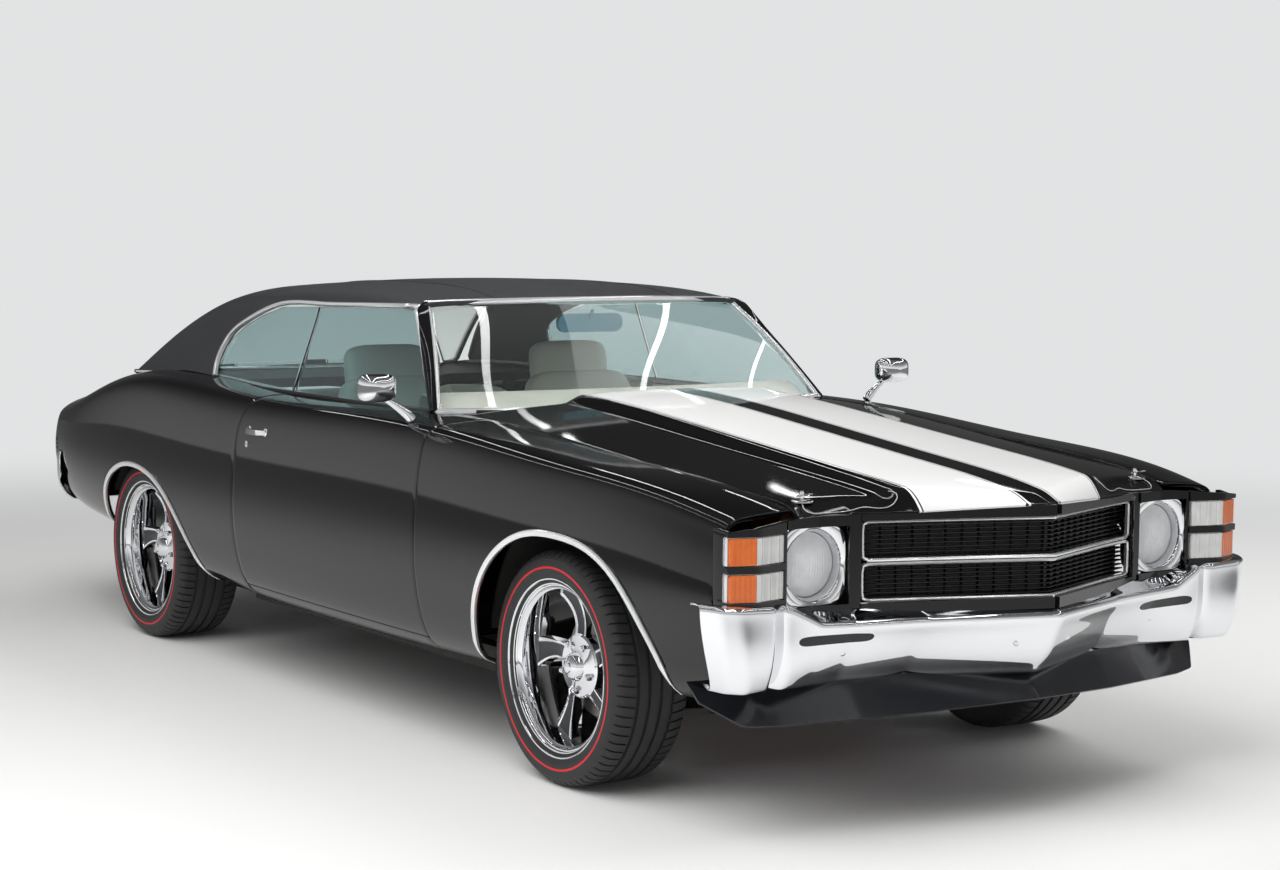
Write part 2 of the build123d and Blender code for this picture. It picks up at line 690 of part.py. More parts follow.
def make_floor():
    """The floor with tunnel and firewall, the raised rear floor with the trunk's, and the parcel shelf on its legs."""
    t = 12
    top = [(800, 894), (800, 520), (700, 312), (-700, 312), (-820, 440), (-1120, 560), (-1640, 560), (-1700, 404), (-2296, 404)]
    low = [(-2296, 392), (-1708, 392), (-1648, 548), (-1116, 548), (-812, 428), (-706, 300), (706, 300), (812, 517), (812, 894)]
    floor = outline_prism(Plane.XZ, top + low, 560, both=True)
    sill_floor = box(-860, 700, -WALL_Y + 2, WALL_Y - 2, 300, 312)
    firewall = box(800, 812, -616, 616, 500, 894)
    tunnel_out = [(-150, 299), (-110, 453), (110, 453), (150, 299)]
    tunnel_in = [(-137, 298), (-98, 441), (98, 441), (137, 298)]
    floor += sill_floor + firewall
    outer = outline_prism(Plane.YZ.offset(-900), tunnel_out, 1700)
    inner = outline_prism(Plane.YZ.offset(-1000), tunnel_in, 1900)
    whole = floor + outer - inner
    behind = box(-2400, FLOOR_SPLIT_X, -700, 700, 250, 900)
    shelf = cabin_footprint(-2, 916, BELT_Z) & box(-1760, -1150, -760, 760, 900, 960)
    shelf += pair_fused(box(-1180, -1150, 560, 600, 560, 920))
    return whole - behind, whole & behind, shelf


def make_wheelhouses():
    """Front liners and rear wheelhouses, four solids."""
    front = arch_shell(FRONT_AXLE_X + 70, 480, 455, 838, 980, 1960)
    front -= box(FRONT_AXLE_X - 130, FRONT_AXLE_X + 130, 440, 480, 450, 500)
    rear = arch_shell(REAR_AXLE_X, 380, 604, 866, -1644, -964)
    return Compound(children=[front, flip(front), rear, flip(rear)])


def arch_shell(x, radius, y0, y1, x0, x1):
    """A half-round liner over a wheel, closed on its inner side."""
    with BuildPart() as shell:
        with BuildSketch(Plane.XZ.offset(-y1)):
            with Locations((x, AXLE_Z)):
                Circle(radius)
                Circle(radius - 10, mode=Mode.SUBTRACT)
        extrude(amount=y1 - y0)
        with BuildSketch(Plane.XZ.offset(-y0)):
            with Locations((x, AXLE_Z)):
                Circle(radius)
        extrude(amount=-10)
    keep = box(x0, x1, y0 - 20, y1 + 20, 380, 1000)
    return shell.part & keep


def make_axle():
    """The live rear axle with differential, driveshaft and gearbox."""
    z = AXLE_Z
    tube = bar((REAR_AXLE_X, -716, z), (REAR_AXLE_X, 716, z), 38)
    stubs = bar((REAR_AXLE_X, -HALF_TRACK - 54, z), (REAR_AXLE_X, HALF_TRACK + 54, z), STUB_R)
    bulb = Pos(REAR_AXLE_X, 0, z) * Sphere(120)
    shaft = bar((REAR_AXLE_X, 0, z + 6), (760, 0, z + 17), 38)
    gearbox = bar((500, 0, z + 17), (1090, 0, z + 17), 84)
    return tube + stubs + bulb + shaft + gearbox


def make_exhaust():
    """Twin pipes with silencers, over the axle to the tail."""
    route = [(1040, 330, 262), (700, 330, 206), (-820, 330, 206), (-1060, 396, 440), (-1560, 396, 440),
             (-1800, 396, 280), (-2336, 396, 280)]
    with BuildPart() as pipe:
        with BuildLine() as path:
            FilletPolyline(*route, radius=70)
        with BuildSketch(Plane(origin=path.line @ 0, z_dir=path.line % 0)):
            Circle(29)
        sweep(path=path.line)
    with BuildPart() as can:
        with BuildSketch(Plane.YZ.offset(-700)):
            with Locations((330, 212)):
                Ellipse(110, 56)
        extrude(amount=520)
    with BuildPart() as tip:
        with BuildSketch(Plane.YZ.offset(-2336)):
            with Locations((396, 280)):
                Circle(TIP_R)
        extrude(amount=TIP_LONG)
    return pair(pipe.part + can.part + tip.part)


def make_seat():
    """The left bucket seat with its headrest."""
    profile = [(330, 470), (300, 560), (-150, 530), (-330, 1000), (-420, 1010), (-300, 480), (-220, 440), (300, 420)]
    shape = outline_prism(Plane.XZ.offset(-600), profile, 460)
    rest = [(-355, 1030), (-345, 1150), (-430, 1160), (-455, 1040)]
    head = outline_prism(Plane.XZ.offset(-510), rest, 280)
    stem = box(-410, -385, 360, 380, 990, 1050)
    feet = box(-200, 250, 180, 560, 312, 440)
    return shape + head + stem + feet


def make_rear_seat():
    """The rear bench."""
    profile = [(-620, 470), (-600, 560), (-1010, 540), (-1080, 890), (-1130, 900), (-1140, 580), (-1120, 572), (-830, 460)]
    return outline_prism(Plane.XZ, profile, 560, both=True)


def make_dash():
    """The dashboard with its padded top and the instrument hood."""
    low = [(786, 896), (470, 896), (455, 850), (500, 720), (560, 640), (640, 620), (786, 640)]
    high = [(786, 896), (786, 904), (600, 934), (480, 916), (470, 896)]
    under = outline_prism(Plane.XZ, low, 696, both=True) & box(400, 792, -640, 640, 600, 900)
    under += outline_prism(Plane.XZ, low, 696, both=True) & box(400, 672, -696, 696, 600, 856)
    pad = outline_prism(Plane.XZ, high, 640, both=True) & cabin_footprint(-96, 880, 960)
    return under + pad


STEER_AXIS = Vector(-0.9, 0, 0.436).normalized()
STEER_CENTRE = Vector(270, 365, 800)


def make_steering_wheel():
    """A three-spoke steering wheel on its column's axis."""
    plane = Plane(origin=STEER_CENTRE, z_dir=STEER_AXIS)
    with BuildPart() as wheel:
        with BuildSketch(Plane(origin=STEER_CENTRE + plane.x_dir * 184, z_dir=plane.y_dir)):
            Circle(14)
        revolve(axis=Axis(STEER_CENTRE, STEER_AXIS))
        with BuildSketch(plane.offset(-22)):
            Circle(52)
        extrude(amount=26)
        for angle in (0, 130, 230):
            with BuildSketch(plane.offset(-8)):
                with Locations(Rot(0, 0, angle) * Pos(110, 0)):
                    Rectangle(150, 30)
            extrude(amount=8)
    return wheel.part


def make_column():
    """The steering column between the wheel and the dashboard."""
    start = STEER_CENTRE - STEER_AXIS * 30
    end = STEER_CENTRE - STEER_AXIS * 250
    return bar(tuple(end), tuple(start), 30)


def make_mirror():
    """The left door mirror on its stalk."""
    head = Pos(690, 985, 1045) * scale(Sphere(62), by=(0.7, 1.05, 0.8))
    stalk = bar((700, 860, 948), (694, 960, 1030), 11)
    return head + stalk


def make_interior_mirror():
    """The rear view mirror on its arm."""
    with BuildPart() as head:
        with BuildSketch(Plane.YZ.offset(316)):
            with Locations((0, 1210)):
                RectangleRounded(250, 60, 28)
        extrude(amount=16)
    return head.part + bar((326, 0, 1215), (342, 0, 1252), 6)


def make_wipers():
    """Two wiper arms lying at the foot of the windscreen."""
    arms = [bar((760, -330, 957), (690, -640, 966), 6), bar((776, 170, 957), (772, -150, 966), 6)]
    return Compound(children=arms)


def main():
    """Makes and saves every piece."""
    skin = body_side(False)
    wall = body_side(True)
    fender, door, quarter = make_body_panels(skin, wall)
    shell = cabin_solid(0) - cabin_solid(ROOF_SKIN)
    panes = cabin_solid(GLASS_IN) - cabin_solid(GLASS_OUT)
    sides, front, rear = window_prisms(0)
    roof = make_roof(shell, sides, front, rear)
    quarter -= roof
    column = make_column()
    mirror_left = make_mirror() - door
    side_glass, front_glass, rear_glass = [panes & prism for prism in window_prisms(1)]
    left = side_glass & box(-1200, 700, 300, 900, 900, 1400)
    belt_x = DOOR_REAR_X + DOOR_LEAN
    lean = [(belt_x + GAP, 900), (belt_x + GAP, 960), (belt_x + 3 * GAP, 1320), (700, 1320), (700, 900)]
    door_glass = (left & outline_prism(Plane.XZ.offset(-900), lean, 600)) - door
    rear_lean = [(belt_x - 2 * GAP, 900), (belt_x - 2 * GAP, 960), (belt_x, 1320), (-1200, 1320), (-1200, 900)]
    quarter_glass = (left & outline_prism(Plane.XZ.offset(-900), rear_lean, 600)) - quarter

    for name, shape in (("front_fender", fender), ("door", door), ("quarter_panel", quarter),
                        ("door_glass", door_glass), ("door_mirror", mirror_left), ("knuckle", make_knuckle())):
        save(f"{name}_left", shape)
        save(f"{name}_right", flip(shape))
    save("quarter_glass", pair(quarter_glass))
    save("roof", roof)
    save("windshield", front_glass)
    save("rear_window", rear_glass)
    save("hood", make_hood())
    save("trunk_lid", make_trunk_lid())
    save("cowl_panel", make_cowl())
    save("deck_filler_panel", make_deck_filler() - quarter - flip(quarter))
    save("header_panel", make_header())
    save("grille", make_grille())
    save("headlamps", pair(make_headlamp()))
    save("headlamp_bezels", pair(make_bezel()))
    save("marker_lamps", pair(make_marker()))
    save("front_bumper", make_front_bumper())
    save("chin_spoiler", make_chin())
    save("rear_bumper", make_rear_bumper())
    save("tail_lamps", make_tail_lamps())
    save("tail_panel", box(-2362, -2340, -640, 640, 440, 782))
    tyre, rim = make_tyre(), make_rim()
    for axle, x in (("front", FRONT_AXLE_X), ("rear", REAR_AXLE_X)):
        for side, sign in (("left", 1), ("right", -1)):
            save(f"tyre_{axle}_{side}", place_wheel(tyre, x, sign))
            save(f"rim_{axle}_{side}", place_wheel(rim, x, sign))
    save("control_arms", make_control_arms())
    save("frame_rails", make_rails())
    save("cross_members", make_cross_members())
    for name, shape in zip(("floor_pan", "rear_floor", "parcel_shelf"), make_floor()):
        save(name, shape)
    save("wheelhouses", make_wheelhouses())
    save("rear_axle", make_axle())
    save("exhaust", make_exhaust())
    save("fuel_tank", box(-2200, -1760, -340, 340, 236, 380))
    save("engine_block", box(1110, 1740, -270, 270, 300, 850))
    save("radiator", box(2060, 2130, -380, 380, 330, 800))
    save("front_seats", pair(make_seat()))
    save("rear_seat", make_rear_seat())
    save("dashboard", make_dash() - column)
    save("steering_wheel", make_steering_wheel())
    save("steering_column", column)
    save("rear_view_mirror", make_interior_mirror())
    save("wiper_arms", make_wipers())


if __name__ == "__main__":
    main()
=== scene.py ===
"""Looks of a two-door hardtop muscle car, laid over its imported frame. Metres, +X forward, +Y to its left.

The tables below are in millimetres from the same datum as the part's source, and SHIFT carries them to the
frame."""

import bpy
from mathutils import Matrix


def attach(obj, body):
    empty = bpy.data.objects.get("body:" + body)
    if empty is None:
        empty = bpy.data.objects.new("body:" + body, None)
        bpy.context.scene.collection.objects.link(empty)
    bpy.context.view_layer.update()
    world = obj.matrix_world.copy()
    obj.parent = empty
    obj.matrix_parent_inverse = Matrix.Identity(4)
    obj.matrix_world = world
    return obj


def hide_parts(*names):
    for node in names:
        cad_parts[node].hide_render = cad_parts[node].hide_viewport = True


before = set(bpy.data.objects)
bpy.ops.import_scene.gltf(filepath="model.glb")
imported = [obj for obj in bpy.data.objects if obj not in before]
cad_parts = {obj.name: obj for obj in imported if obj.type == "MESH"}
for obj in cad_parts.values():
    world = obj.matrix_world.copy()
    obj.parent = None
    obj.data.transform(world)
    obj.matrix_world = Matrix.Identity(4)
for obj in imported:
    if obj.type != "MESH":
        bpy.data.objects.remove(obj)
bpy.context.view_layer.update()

import bmesh
import bpy
import numpy as np
from mathutils import Matrix

bl_info = {
    "name": "Two-door hardtop muscle car",
    "version": (1, 0, 0),
    "blender": (4, 5, 0),
    "location": "3D View > Sidebar > Car",
    "description": "Builds the painted, chromed and trimmed surfaces of a hardtop car over its frame",
    "category": "Add Mesh",
}

SHIFT = -84.0
FRONT_AXLE_X = 1523.0
REAR_AXLE_X = -1322.0
HALF_TRACK = 760.0
AXLE_Z = 328.0
FINISH = {}

# Body side stations: x, then y and z of the widest line, the shoulder and the inner top, and of the foot
SIDE = [
    (2345, 882, 590, 838, 804, 650, 822, 766, 394),
    (2120, 912, 588, 862, 850, 664, 862, 796, 338),
    (1523, 938, 575, 874, 902, 682, 910, 822, 288),
    (860, 950, 562, 878, 946, 700, 958, 834, 274),
    (150, 957, 560, 874, 953, 704, 962, 840, 270),
    (-390, 955, 560, 868, 950, 702, 960, 838, 272),
    (-960, 945, 566, 860, 962, 702, 978, 828, 290),
    (-1322, 935, 576, 845, 966, 692, 982, 818, 320),
    (-1750, 912, 590, 800, 926, 642, 955, 796, 366),
    (-2130, 868, 602, 737, 850, 620, 878, 752, 384),
    (-2366, 822, 610, 706, 812, 604, 832, 706, 404),
]
FRONT_ARCH = [(1128, 278), (1150, 340), (1198, 478), (1290, 606), (1440, 690), (1620, 708), (1770, 690),
              (1900, 630), (2010, 520), (2056, 440), (2078, 345)]
REAR_ARCH = [(-1664, 356), (-1640, 440), (-1600, 520), (-1500, 600), (-1380, 636), (-1230, 640), (-1080, 608),
             (-960, 548), (-866, 468), (-790, 372), (-735, 284)]
DOOR_FRONT_X, DOOR_REAR_X, SILL_Z, GAP = 860.0, -390.0, 320.0, 6.0
FENDER_FRONT_X, QUARTER_REAR_X = 2284.0, -2366.0

# Roof and cabin sides: x, foot y and z, waist y and z, shoulder y and z, crest y and z, middle z
ROOF = [
    (620, 752, 952, 690, 1120, 640, 1236, 560, 1262, 1262),
    (345, 757, 952, 694, 1120, 646, 1248, 585, 1284, 1292),
    (200, 758, 952, 697, 1120, 650, 1254, 585, 1302, 1318),
    (0, 760, 952, 698, 1122, 652, 1260, 580, 1316, 1335),
    (-300, 760, 953, 698, 1122, 651, 1260, 570, 1320, 1340),
    (-600, 758, 955, 696, 1122, 646, 1254, 550, 1314, 1334),
    (-860, 752, 958, 690, 1118, 630, 1242, 520, 1306, 1312),
    (-1050, 747, 960, 682, 1112, 612, 1226, 500, 1292, 1276),
    (-1255, 744, 962, 676, 1088, 610, 1196, 560, 1242, 1205),
    (-1515, 741, 958, 694, 1036, 668, 1090, 640, 1118, 1045),
    (-1740, 738, 950, 737, 952, 736, 953, 733, 956, 940),
]
# Outer edge of the side window's trim: x and z, from its front upper corner back and down to the rear lower one
WINDOW_TOP = [(303, 1274), (-73, 1265), (-347, 1259), (-658, 1247), (-813, 1214), (-940, 1172), (-1020, 1122),
              (-1037, 1075), (-1030, 1020), (-1006, 980)]

# Hood stations: x, half width, edge z, middle z; the trunk lid's are the same
HOOD = [(2560, 624, 780, 838), (2400, 634, 820, 872), (2120, 654, 860, 908), (1523, 672, 908, 971),
        (860, 692, 958, 1026), (690, 694, 962, 1030)]
DECK = [(-1640, 628, 966, 986), (-1750, 628, 952, 980), (-2130, 608, 878, 918), (-2376, 588, 826, 864)]
# Nose line: distance from the middle and x
NOSE = [(0, 2550), (330, 2400), (480, 2338), (600, 2316), (700, 2322), (816, 2350), (884, 2328)]
# Front bumper: distance from the middle, x at foot, middle and top edge, z of foot, middle and top edge
BUMPER = [(0, 2494, 2552, 2588, 390, 480, 554), (330, 2352, 2410, 2452, 388, 480, 548),
          (530, 2322, 2368, 2396, 388, 480, 546), (625, 2330, 2368, 2384, 388, 480, 550),
          (690, 2342, 2374, 2380, 389, 484, 582), (722, 2346, 2376, 2378, 389, 486, 598),
          (742, 2302, 2328, 2334, 390, 488, 594), (764, 2346, 2376, 2378, 390, 488, 598),
          (868, 2364, 2388, 2384, 392, 490, 604), (920, 2338, 2354, 2352, 396, 490, 606),
          (935, 2294, 2298, 2298, 400, 490, 606)]
# Chin spoiler's lip: distance from the middle, x and z
CHIN = [(0, 2515, 322), (330, 2438, 306), (500, 2390, 300), (700, 2322, 290), (790, 2285, 291),
        (870, 2200, 345)]
# Rear bumper: distance from the middle and x; its lamps by distance from the middle and height
REAR_BUMPER = [(0, -2424), (500, -2418), (700, -2404), (780, -2380), (830, -2320), (856, -2226)]
TAIL_LAMP_Y, TAIL_LAMP_Z = (420, 600), 520
# Side marker slots: how many, their lowest and highest z, the lowest one's x
LOUVRES, LOUVRE_Z, LOUVRE_X = 9, (512, 648), -2284

# Hood: height of its raised centre, half width of that centre's foot, width of its flank
DOME_RISE, DOME_HALF, DOME_FLANK = 22, 405, 72
# Stripes: distances of their inner and outer edge from the middle; x and slope of their front end, and of none
STRIPE_INNER, STRIPE_OUTER, STRIPE_FRONT = 47.0, 335, (2522.0, -0.317)
NO_FRONT = (9999.0, 0.0)

# Wheels: spokes, and as many nuts on a circle; tread blocks round the tyre and depth of the slots between
SPOKES, NUT_CIRCLE = 5, 68
BLOCKS, SLOT_DEPTH = 72, 5.5
SEAT_Y = 370
DOOR_INNER_Y, DOOR_TOP_Z = 722, 944


def curve(table, x):
    """Natural cubic splines through the table's rows: the first column is the position, the rest are read."""
    rows = np.array(sorted(table), float)
    xk, yk = rows[:, 0], rows[:, 1:]
    n, h = len(xk), np.diff(xk)
    left = np.eye(n)
    i = np.arange(1, n - 1)
    left[i, i - 1], left[i, i + 1], left[i, i] = h[:-1], h[1:], 2 * (h[:-1] + h[1:])
    right = np.zeros_like(yk)
    slope = np.diff(yk, axis=0) / h[:, None]
    right[1:-1] = 6 * np.diff(slope, axis=0)
    m = np.linalg.solve(left, right)
    x = np.asarray(x, float)
    k = np.clip(np.searchsorted(xk, x) - 1, 0, n - 2)
    t, hk = (x - xk[k])[..., None], h[k][..., None]
    a = yk[k] + t * (slope[k] - hk * (2 * m[k] + m[k + 1]) / 6)
    return a + t**2 * m[k] / 2 + t**3 * (m[k + 1] - m[k]) / (6 * hk)


def basis(s, count, degree=3):
    """Weights of the control points of a clamped uniform B-spline at s from 0 to 1."""
    knots = np.concatenate([np.zeros(degree), np.linspace(0, 1, count - degree + 1), np.ones(degree)])
    s = np.clip(s, 0, 1 - 1e-9)[..., None]
    b = ((s >= knots[:-1]) & (s < knots[1:])).astype(float)
    for d in range(1, degree + 1):
        low, high = knots[d:-1] - knots[:-d - 1], knots[d + 1:] - knots[1:-d]
        rise = (s - knots[:-d - 1]) / np.where(low > 0, low, 1)
        fall = (knots[d + 1:] - s) / np.where(high > 0, high, 1)
        b = rise * b[..., :-1] + fall * b[..., 1:]
    return b


def spline_line(points, count):
    """A smooth line through the points, cubic by summed chord length, as count evenly spaced samples."""
    pts = np.array(points, float)
    run = np.concatenate([[0], np.cumsum(np.linalg.norm(np.diff(pts, axis=0), axis=1))])
    table = np.column_stack([run, pts])
    return resample(curve(table.tolist(), np.linspace(0, run[-1], 12 * len(pts) + 200)), count)


def resample(line, count):
    """The same line with count points at even distances."""
    line = np.asarray(line, float)
    run = np.concatenate([[0], np.cumsum(np.linalg.norm(np.diff(line, axis=0), axis=1))])
    at = np.linspace(0, run[-1], count)
    return np.column_stack([np.interp(at, run, line[:, k]) for k in range(line.shape[1])])


def rounded(line, radius, count):
    """A straight-edged line with its corners eased over about the radius: a running mean of even samples."""
    fine = resample(line, 4001)
    step = np.linalg.norm(np.diff(np.asarray(line, float), axis=0), axis=1).sum() / 4000
    half = max(1, int(radius / step))
    padded = np.vstack([2 * fine[0] - fine[half:0:-1], fine, 2 * fine[-1] - fine[-2:-half - 2:-1]])
    total = np.vstack([np.zeros(fine.shape[1]), np.cumsum(padded, axis=0)])
    return resample((total[2 * half + 1:] - total[:-2 * half - 1]) / (2 * half + 1), count)


def side_point(x, s):
    """A point of the left side: a B-spline section whose ten control points follow splines along the car."""
    x = np.asarray(x, float)
    wide, wide_z, sh_y, sh_z, top_y, top_z, low_y, low_z = np.moveaxis(curve(SIDE, x), -1, 0)
    y = np.stack([low_y, wide - 62, wide - 22, wide + 5, wide - 1, wide - 14, wide - 32, sh_y + 10,
                  sh_y - 70, top_y], -1)
    z = np.stack([low_z, low_z + 14, low_z + 0.36 * (wide_z - low_z), wide_z - 0.1 * (wide_z - low_z),
                  wide_z + 0.36 * (sh_z - wide_z), wide_z + 0.66 * (sh_z - wide_z), sh_z - 40, sh_z - 1,
                  sh_z + 0.62 * (top_z - sh_z), top_z], -1)
    b = basis(np.asarray(s, float), 10)
    return np.stack([x, (b * y).sum(-1), (b * z).sum(-1)], -1)


def reaches(surface, x, z, top, samples):
    """The section parameter, up to top, at which a surface of x and parameter rises to height z."""
    x, z = np.broadcast_arrays(np.asarray(x, float), np.asarray(z, float))
    s = np.linspace(0, top, samples)
    heights = surface(np.repeat(x.ravel()[:, None], samples, 1), np.repeat(s[None], x.size, 0))[..., 2]
    heights = np.maximum.accumulate(heights, 1)
    j = np.clip((heights <= z.reshape(-1, 1)).sum(1) - 1, 0, samples - 2)
    low, high = np.take_along_axis(heights, np.stack([j, j + 1], -1), 1).T
    t = np.where(high > low, np.clip((z.ravel() - low) / np.where(high > low, high - low, 1), 0, 1), 1)
    return (s[j] + t * (s[j + 1] - s[j])).reshape(x.shape)


def side_s(x, z):
    """The section parameter at which the body side reaches height z."""
    return reaches(side_point, x, z, 1, 600)


def ruled(surface, low, high, rows):
    """Surface points between two border lines of equal count, ruled across in the surface's parameters."""
    v = np.linspace(0, 1, rows)[None, :, None]
    uv = (1 - v) * np.asarray(low)[:, None] + v * np.asarray(high)[:, None]
    return surface(uv[..., 0], uv[..., 1])


def grid_normals(p):
    """Unit normals of a grid of points, from its two directions."""
    du, dv = np.gradient(p, axis=0), np.gradient(p, axis=1)
    n = np.cross(du, dv)
    return n / np.maximum(np.linalg.norm(n, axis=-1, keepdims=True), 1e-12)


def grid_faces(n, m, wrap_u=False, wrap_v=False):
    """Quads of an n by m grid of vertices, closed round either way when asked."""
    u = np.arange(n if wrap_u else n - 1)
    v = np.arange(m if wrap_v else m - 1)
    a, b = np.meshgrid(u, v, indexing="ij")
    a2, b2 = (a + 1) % n, (b + 1) % m
    quads = np.stack([a * m + b, a2 * m + b, a2 * m + b2, a * m + b2], -1)
    return quads.reshape(-1, 4)


def new_mesh(name, points, faces, finish, body="body", slot=None, replaces=(), picks=None, uv=None, sharp=None):
    """One piece from points in millimetres: shifted to the frame, given its finish and seated on its body.
    picks numbers each face's finish, uv holds one pair for each point, sharp is the angle past which edges stay
    crisp."""
    points = np.array(points, float).reshape(-1, 3) / 1000
    points[:, 0] += SHIFT / 1000
    mesh = bpy.data.meshes.new(name)
    faces = [list(map(int, f)) for f in faces]
    mesh.from_pydata(points.tolist(), [], faces)
    if uv is not None:
        layer = mesh.uv_layers.new(name="UVMap")
        loops = np.zeros(len(mesh.loops), int)
        mesh.loops.foreach_get("vertex_index", loops)
        layer.data.foreach_set("uv", np.asarray(uv, float)[loops].ravel())
    if picks is not None:
        mesh.polygons.foreach_set("material_index", np.asarray(picks, int))
    for each in finish if isinstance(finish, (list, tuple)) else [finish]:
        mesh.materials.append(FINISH[each])
    seal(mesh)
    mesh.polygons.foreach_set("use_smooth", [True] * len(mesh.polygons))
    if sharp is not None:
        mesh.set_sharp_from_angle(angle=np.radians(sharp))
    obj = bpy.data.objects.new(name, mesh)
    bpy.context.scene.collection.objects.link(obj)
    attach(obj, body)
    if replaces:
        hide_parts(*replaces)
    return obj


def seal(mesh):
    """Merges the seams and poles of a mesh's closed shells and turns every shell's faces outwards."""
    work = bmesh.new()
    work.from_mesh(mesh)
    bmesh.ops.remove_doubles(work, verts=work.verts, dist=2e-6)
    bmesh.ops.recalc_face_normals(work, faces=work.faces)
    work.to_mesh(mesh)
    work.free()


ACROSS = np.diag([1.0, -1.0, 1.0])


class Shape:
    """Points and faces gathered from several surfaces, with one finish number for each face."""

    def __init__(self):
        self.points, self.faces, self.picks, self.uv, self.count = [], [], [], [], 0

    def add(self, points, faces, uv=None):
        points = np.array(points, float).reshape(-1, 3)
        self.faces += [[int(i) + self.count for i in f] for f in faces]
        self.picks += [0] * len(faces)
        self.points.append(points)
        self.uv.append(np.zeros((len(points), 2)) if uv is None else np.asarray(uv, float).reshape(-1, 2))
        self.count += len(points)
        return self

    def grid(self, p, wrap_u=False, wrap_v=False, uv=None, turn=False):
        faces = grid_faces(p.shape[0], p.shape[1], wrap_u, wrap_v)
        return self.add(p, faces[:, ::-1] if turn else faces, uv)

    def other_side(self):
        """The same shape across the car, as a new one."""
        return self.turned(ACROSS, (0, 0, 0))

    def mirror(self):
        """Adds the twin across the car."""
        return self.join(self.other_side())

    def on_side(self, side):
        """The shape itself for the left side, its twin for the right."""
        return self if side == "left" else self.other_side()

    def turned(self, matrix, offset):
        """The same shape turned by a 3 by 3 matrix and moved."""
        twin = Shape()
        pts = np.vstack(self.points) @ np.asarray(matrix, float).T + np.asarray(offset, float)
        twin.points, twin.picks, twin.uv, twin.count = [pts], list(self.picks), list(self.uv), self.count
        mirrored = np.linalg.det(matrix) < 0
        twin.faces = [list(f)[::-1] if mirrored else list(f) for f in self.faces]
        return twin

    def join(self, other):
        self.faces += [[i + self.count for i in f] for f in other.faces]
        self.picks += other.picks
        self.points += other.points
        self.uv += other.uv
        self.count += other.count
        return self

    def build(self, name, finish, **rest):
        multi = isinstance(finish, (list, tuple))
        uv = np.vstack(self.uv)
        return new_mesh(name, np.vstack(self.points), self.faces, finish, picks=self.picks if multi else None,
                        uv=uv if np.any(uv) else None, **rest)


def loop_of(n, m):
    """Border vertices of an n by m grid, once round."""
    return np.concatenate([np.arange(0, m - 1), np.arange(m - 1, n * m - 1, m),
                           np.arange(n * m - 1, (n - 1) * m, -1), np.arange((n - 1) * m, 0, -m)])


def panel(p, depth=14.0, roll=2.5, shape=None, inner=None, uv=None):
    """A sheet-metal panel from its outer grid: edges rolled over a small radius and turned in by the depth,
    then a back sheet moved in by the same depth. The grid's faces must look outwards."""
    shape = shape or Shape()
    n, m = p.shape[:2]
    normal = grid_normals(p)
    flat, nflat = p.reshape(-1, 3), normal.reshape(-1, 3)
    loop = loop_of(n, m)
    ring, rn = flat[loop], nflat[loop]
    along = np.roll(ring, -1, 0) - np.roll(ring, 1, 0)
    along /= np.maximum(np.linalg.norm(along, axis=1, keepdims=True), 1e-9)
    out = np.cross(along, rn)
    inward = flat[inner_loop(n, m)] - ring
    out *= -np.sign((out * inward).sum(1, keepdims=True) + 1e-12)
    base = inner if inner is not None else p - normal * depth
    back_ring = base.reshape(-1, 3)[loop]
    rings = [ring]
    for angle in np.radians((30, 60, 90)):
        rings.append(ring + out * roll * np.sin(angle) - rn * roll * (1 - np.cos(angle)))
    rings += [back_ring + out * roll * 0.9, back_ring]
    skirt = grid_faces(len(rings), len(loop), wrap_v=True)
    orient = np.sign(np.einsum("ij,ij->i", np.cross(ring - np.roll(ring, 1, 0), out), -rn).sum())
    shape.grid(p, uv=uv)
    ring_uv = None if uv is None else np.repeat(uv.reshape(-1, 2)[loop][None], len(rings), 0)
    shape.add(np.stack(rings), skirt if orient < 0 else skirt[:, ::-1], ring_uv)
    return shape.grid(base, turn=True)


def inner_loop(n, m):
    """For each border vertex of a grid, the vertex one step inside."""
    loop = loop_of(n, m)
    u, v = np.clip(loop // m, 1, n - 2), np.clip(loop % m, 1, m - 2)
    return u * m + v


def frames(path, up, closed=False):
    """Unit side and up vectors along a path, from a wished up direction for each point."""
    t = np.roll(path, -1, 0) - np.roll(path, 1, 0) if closed else np.gradient(path, axis=0)
    t /= np.maximum(np.linalg.norm(t, axis=1, keepdims=True), 1e-9)
    side = np.cross(t, np.broadcast_to(np.asarray(up, float), path.shape))
    side /= np.maximum(np.linalg.norm(side, axis=1, keepdims=True), 1e-9)
    return side, np.cross(side, t)


def sweep(path, profile, up=(0, 0, 1), closed=False, scale=None, shape=None):
    """A closed profile of (side, up) pairs carried along a path, scaled along the way where asked."""
    shape = shape or Shape()
    path = np.asarray(path, float)
    side, top = frames(path, up, closed)
    prof = np.asarray(profile, float)
    k = np.ones(len(path)) if scale is None else np.asarray(scale, float)
    off = side[:, None] * prof[None, :, :1] + top[:, None] * prof[None, :, 1:]
    p = path[:, None] + off * k[:, None, None]
    area = 0.5 * np.sum(prof[:, 0] * np.roll(prof[:, 1], -1) - np.roll(prof[:, 0], -1) * prof[:, 1])
    faces = grid_faces(len(path), len(prof), closed, True)
    if area > 0:
        faces = faces[:, ::-1]
    shape.add(p, faces)
    if not closed:
        m = len(prof)
        first, last = list(range(m)), list(range((len(path) - 1) * m, len(path) * m))
        ends = [first, last[::-1]] if area > 0 else [first[::-1], last]
        shape.add(p, ends)
    return shape


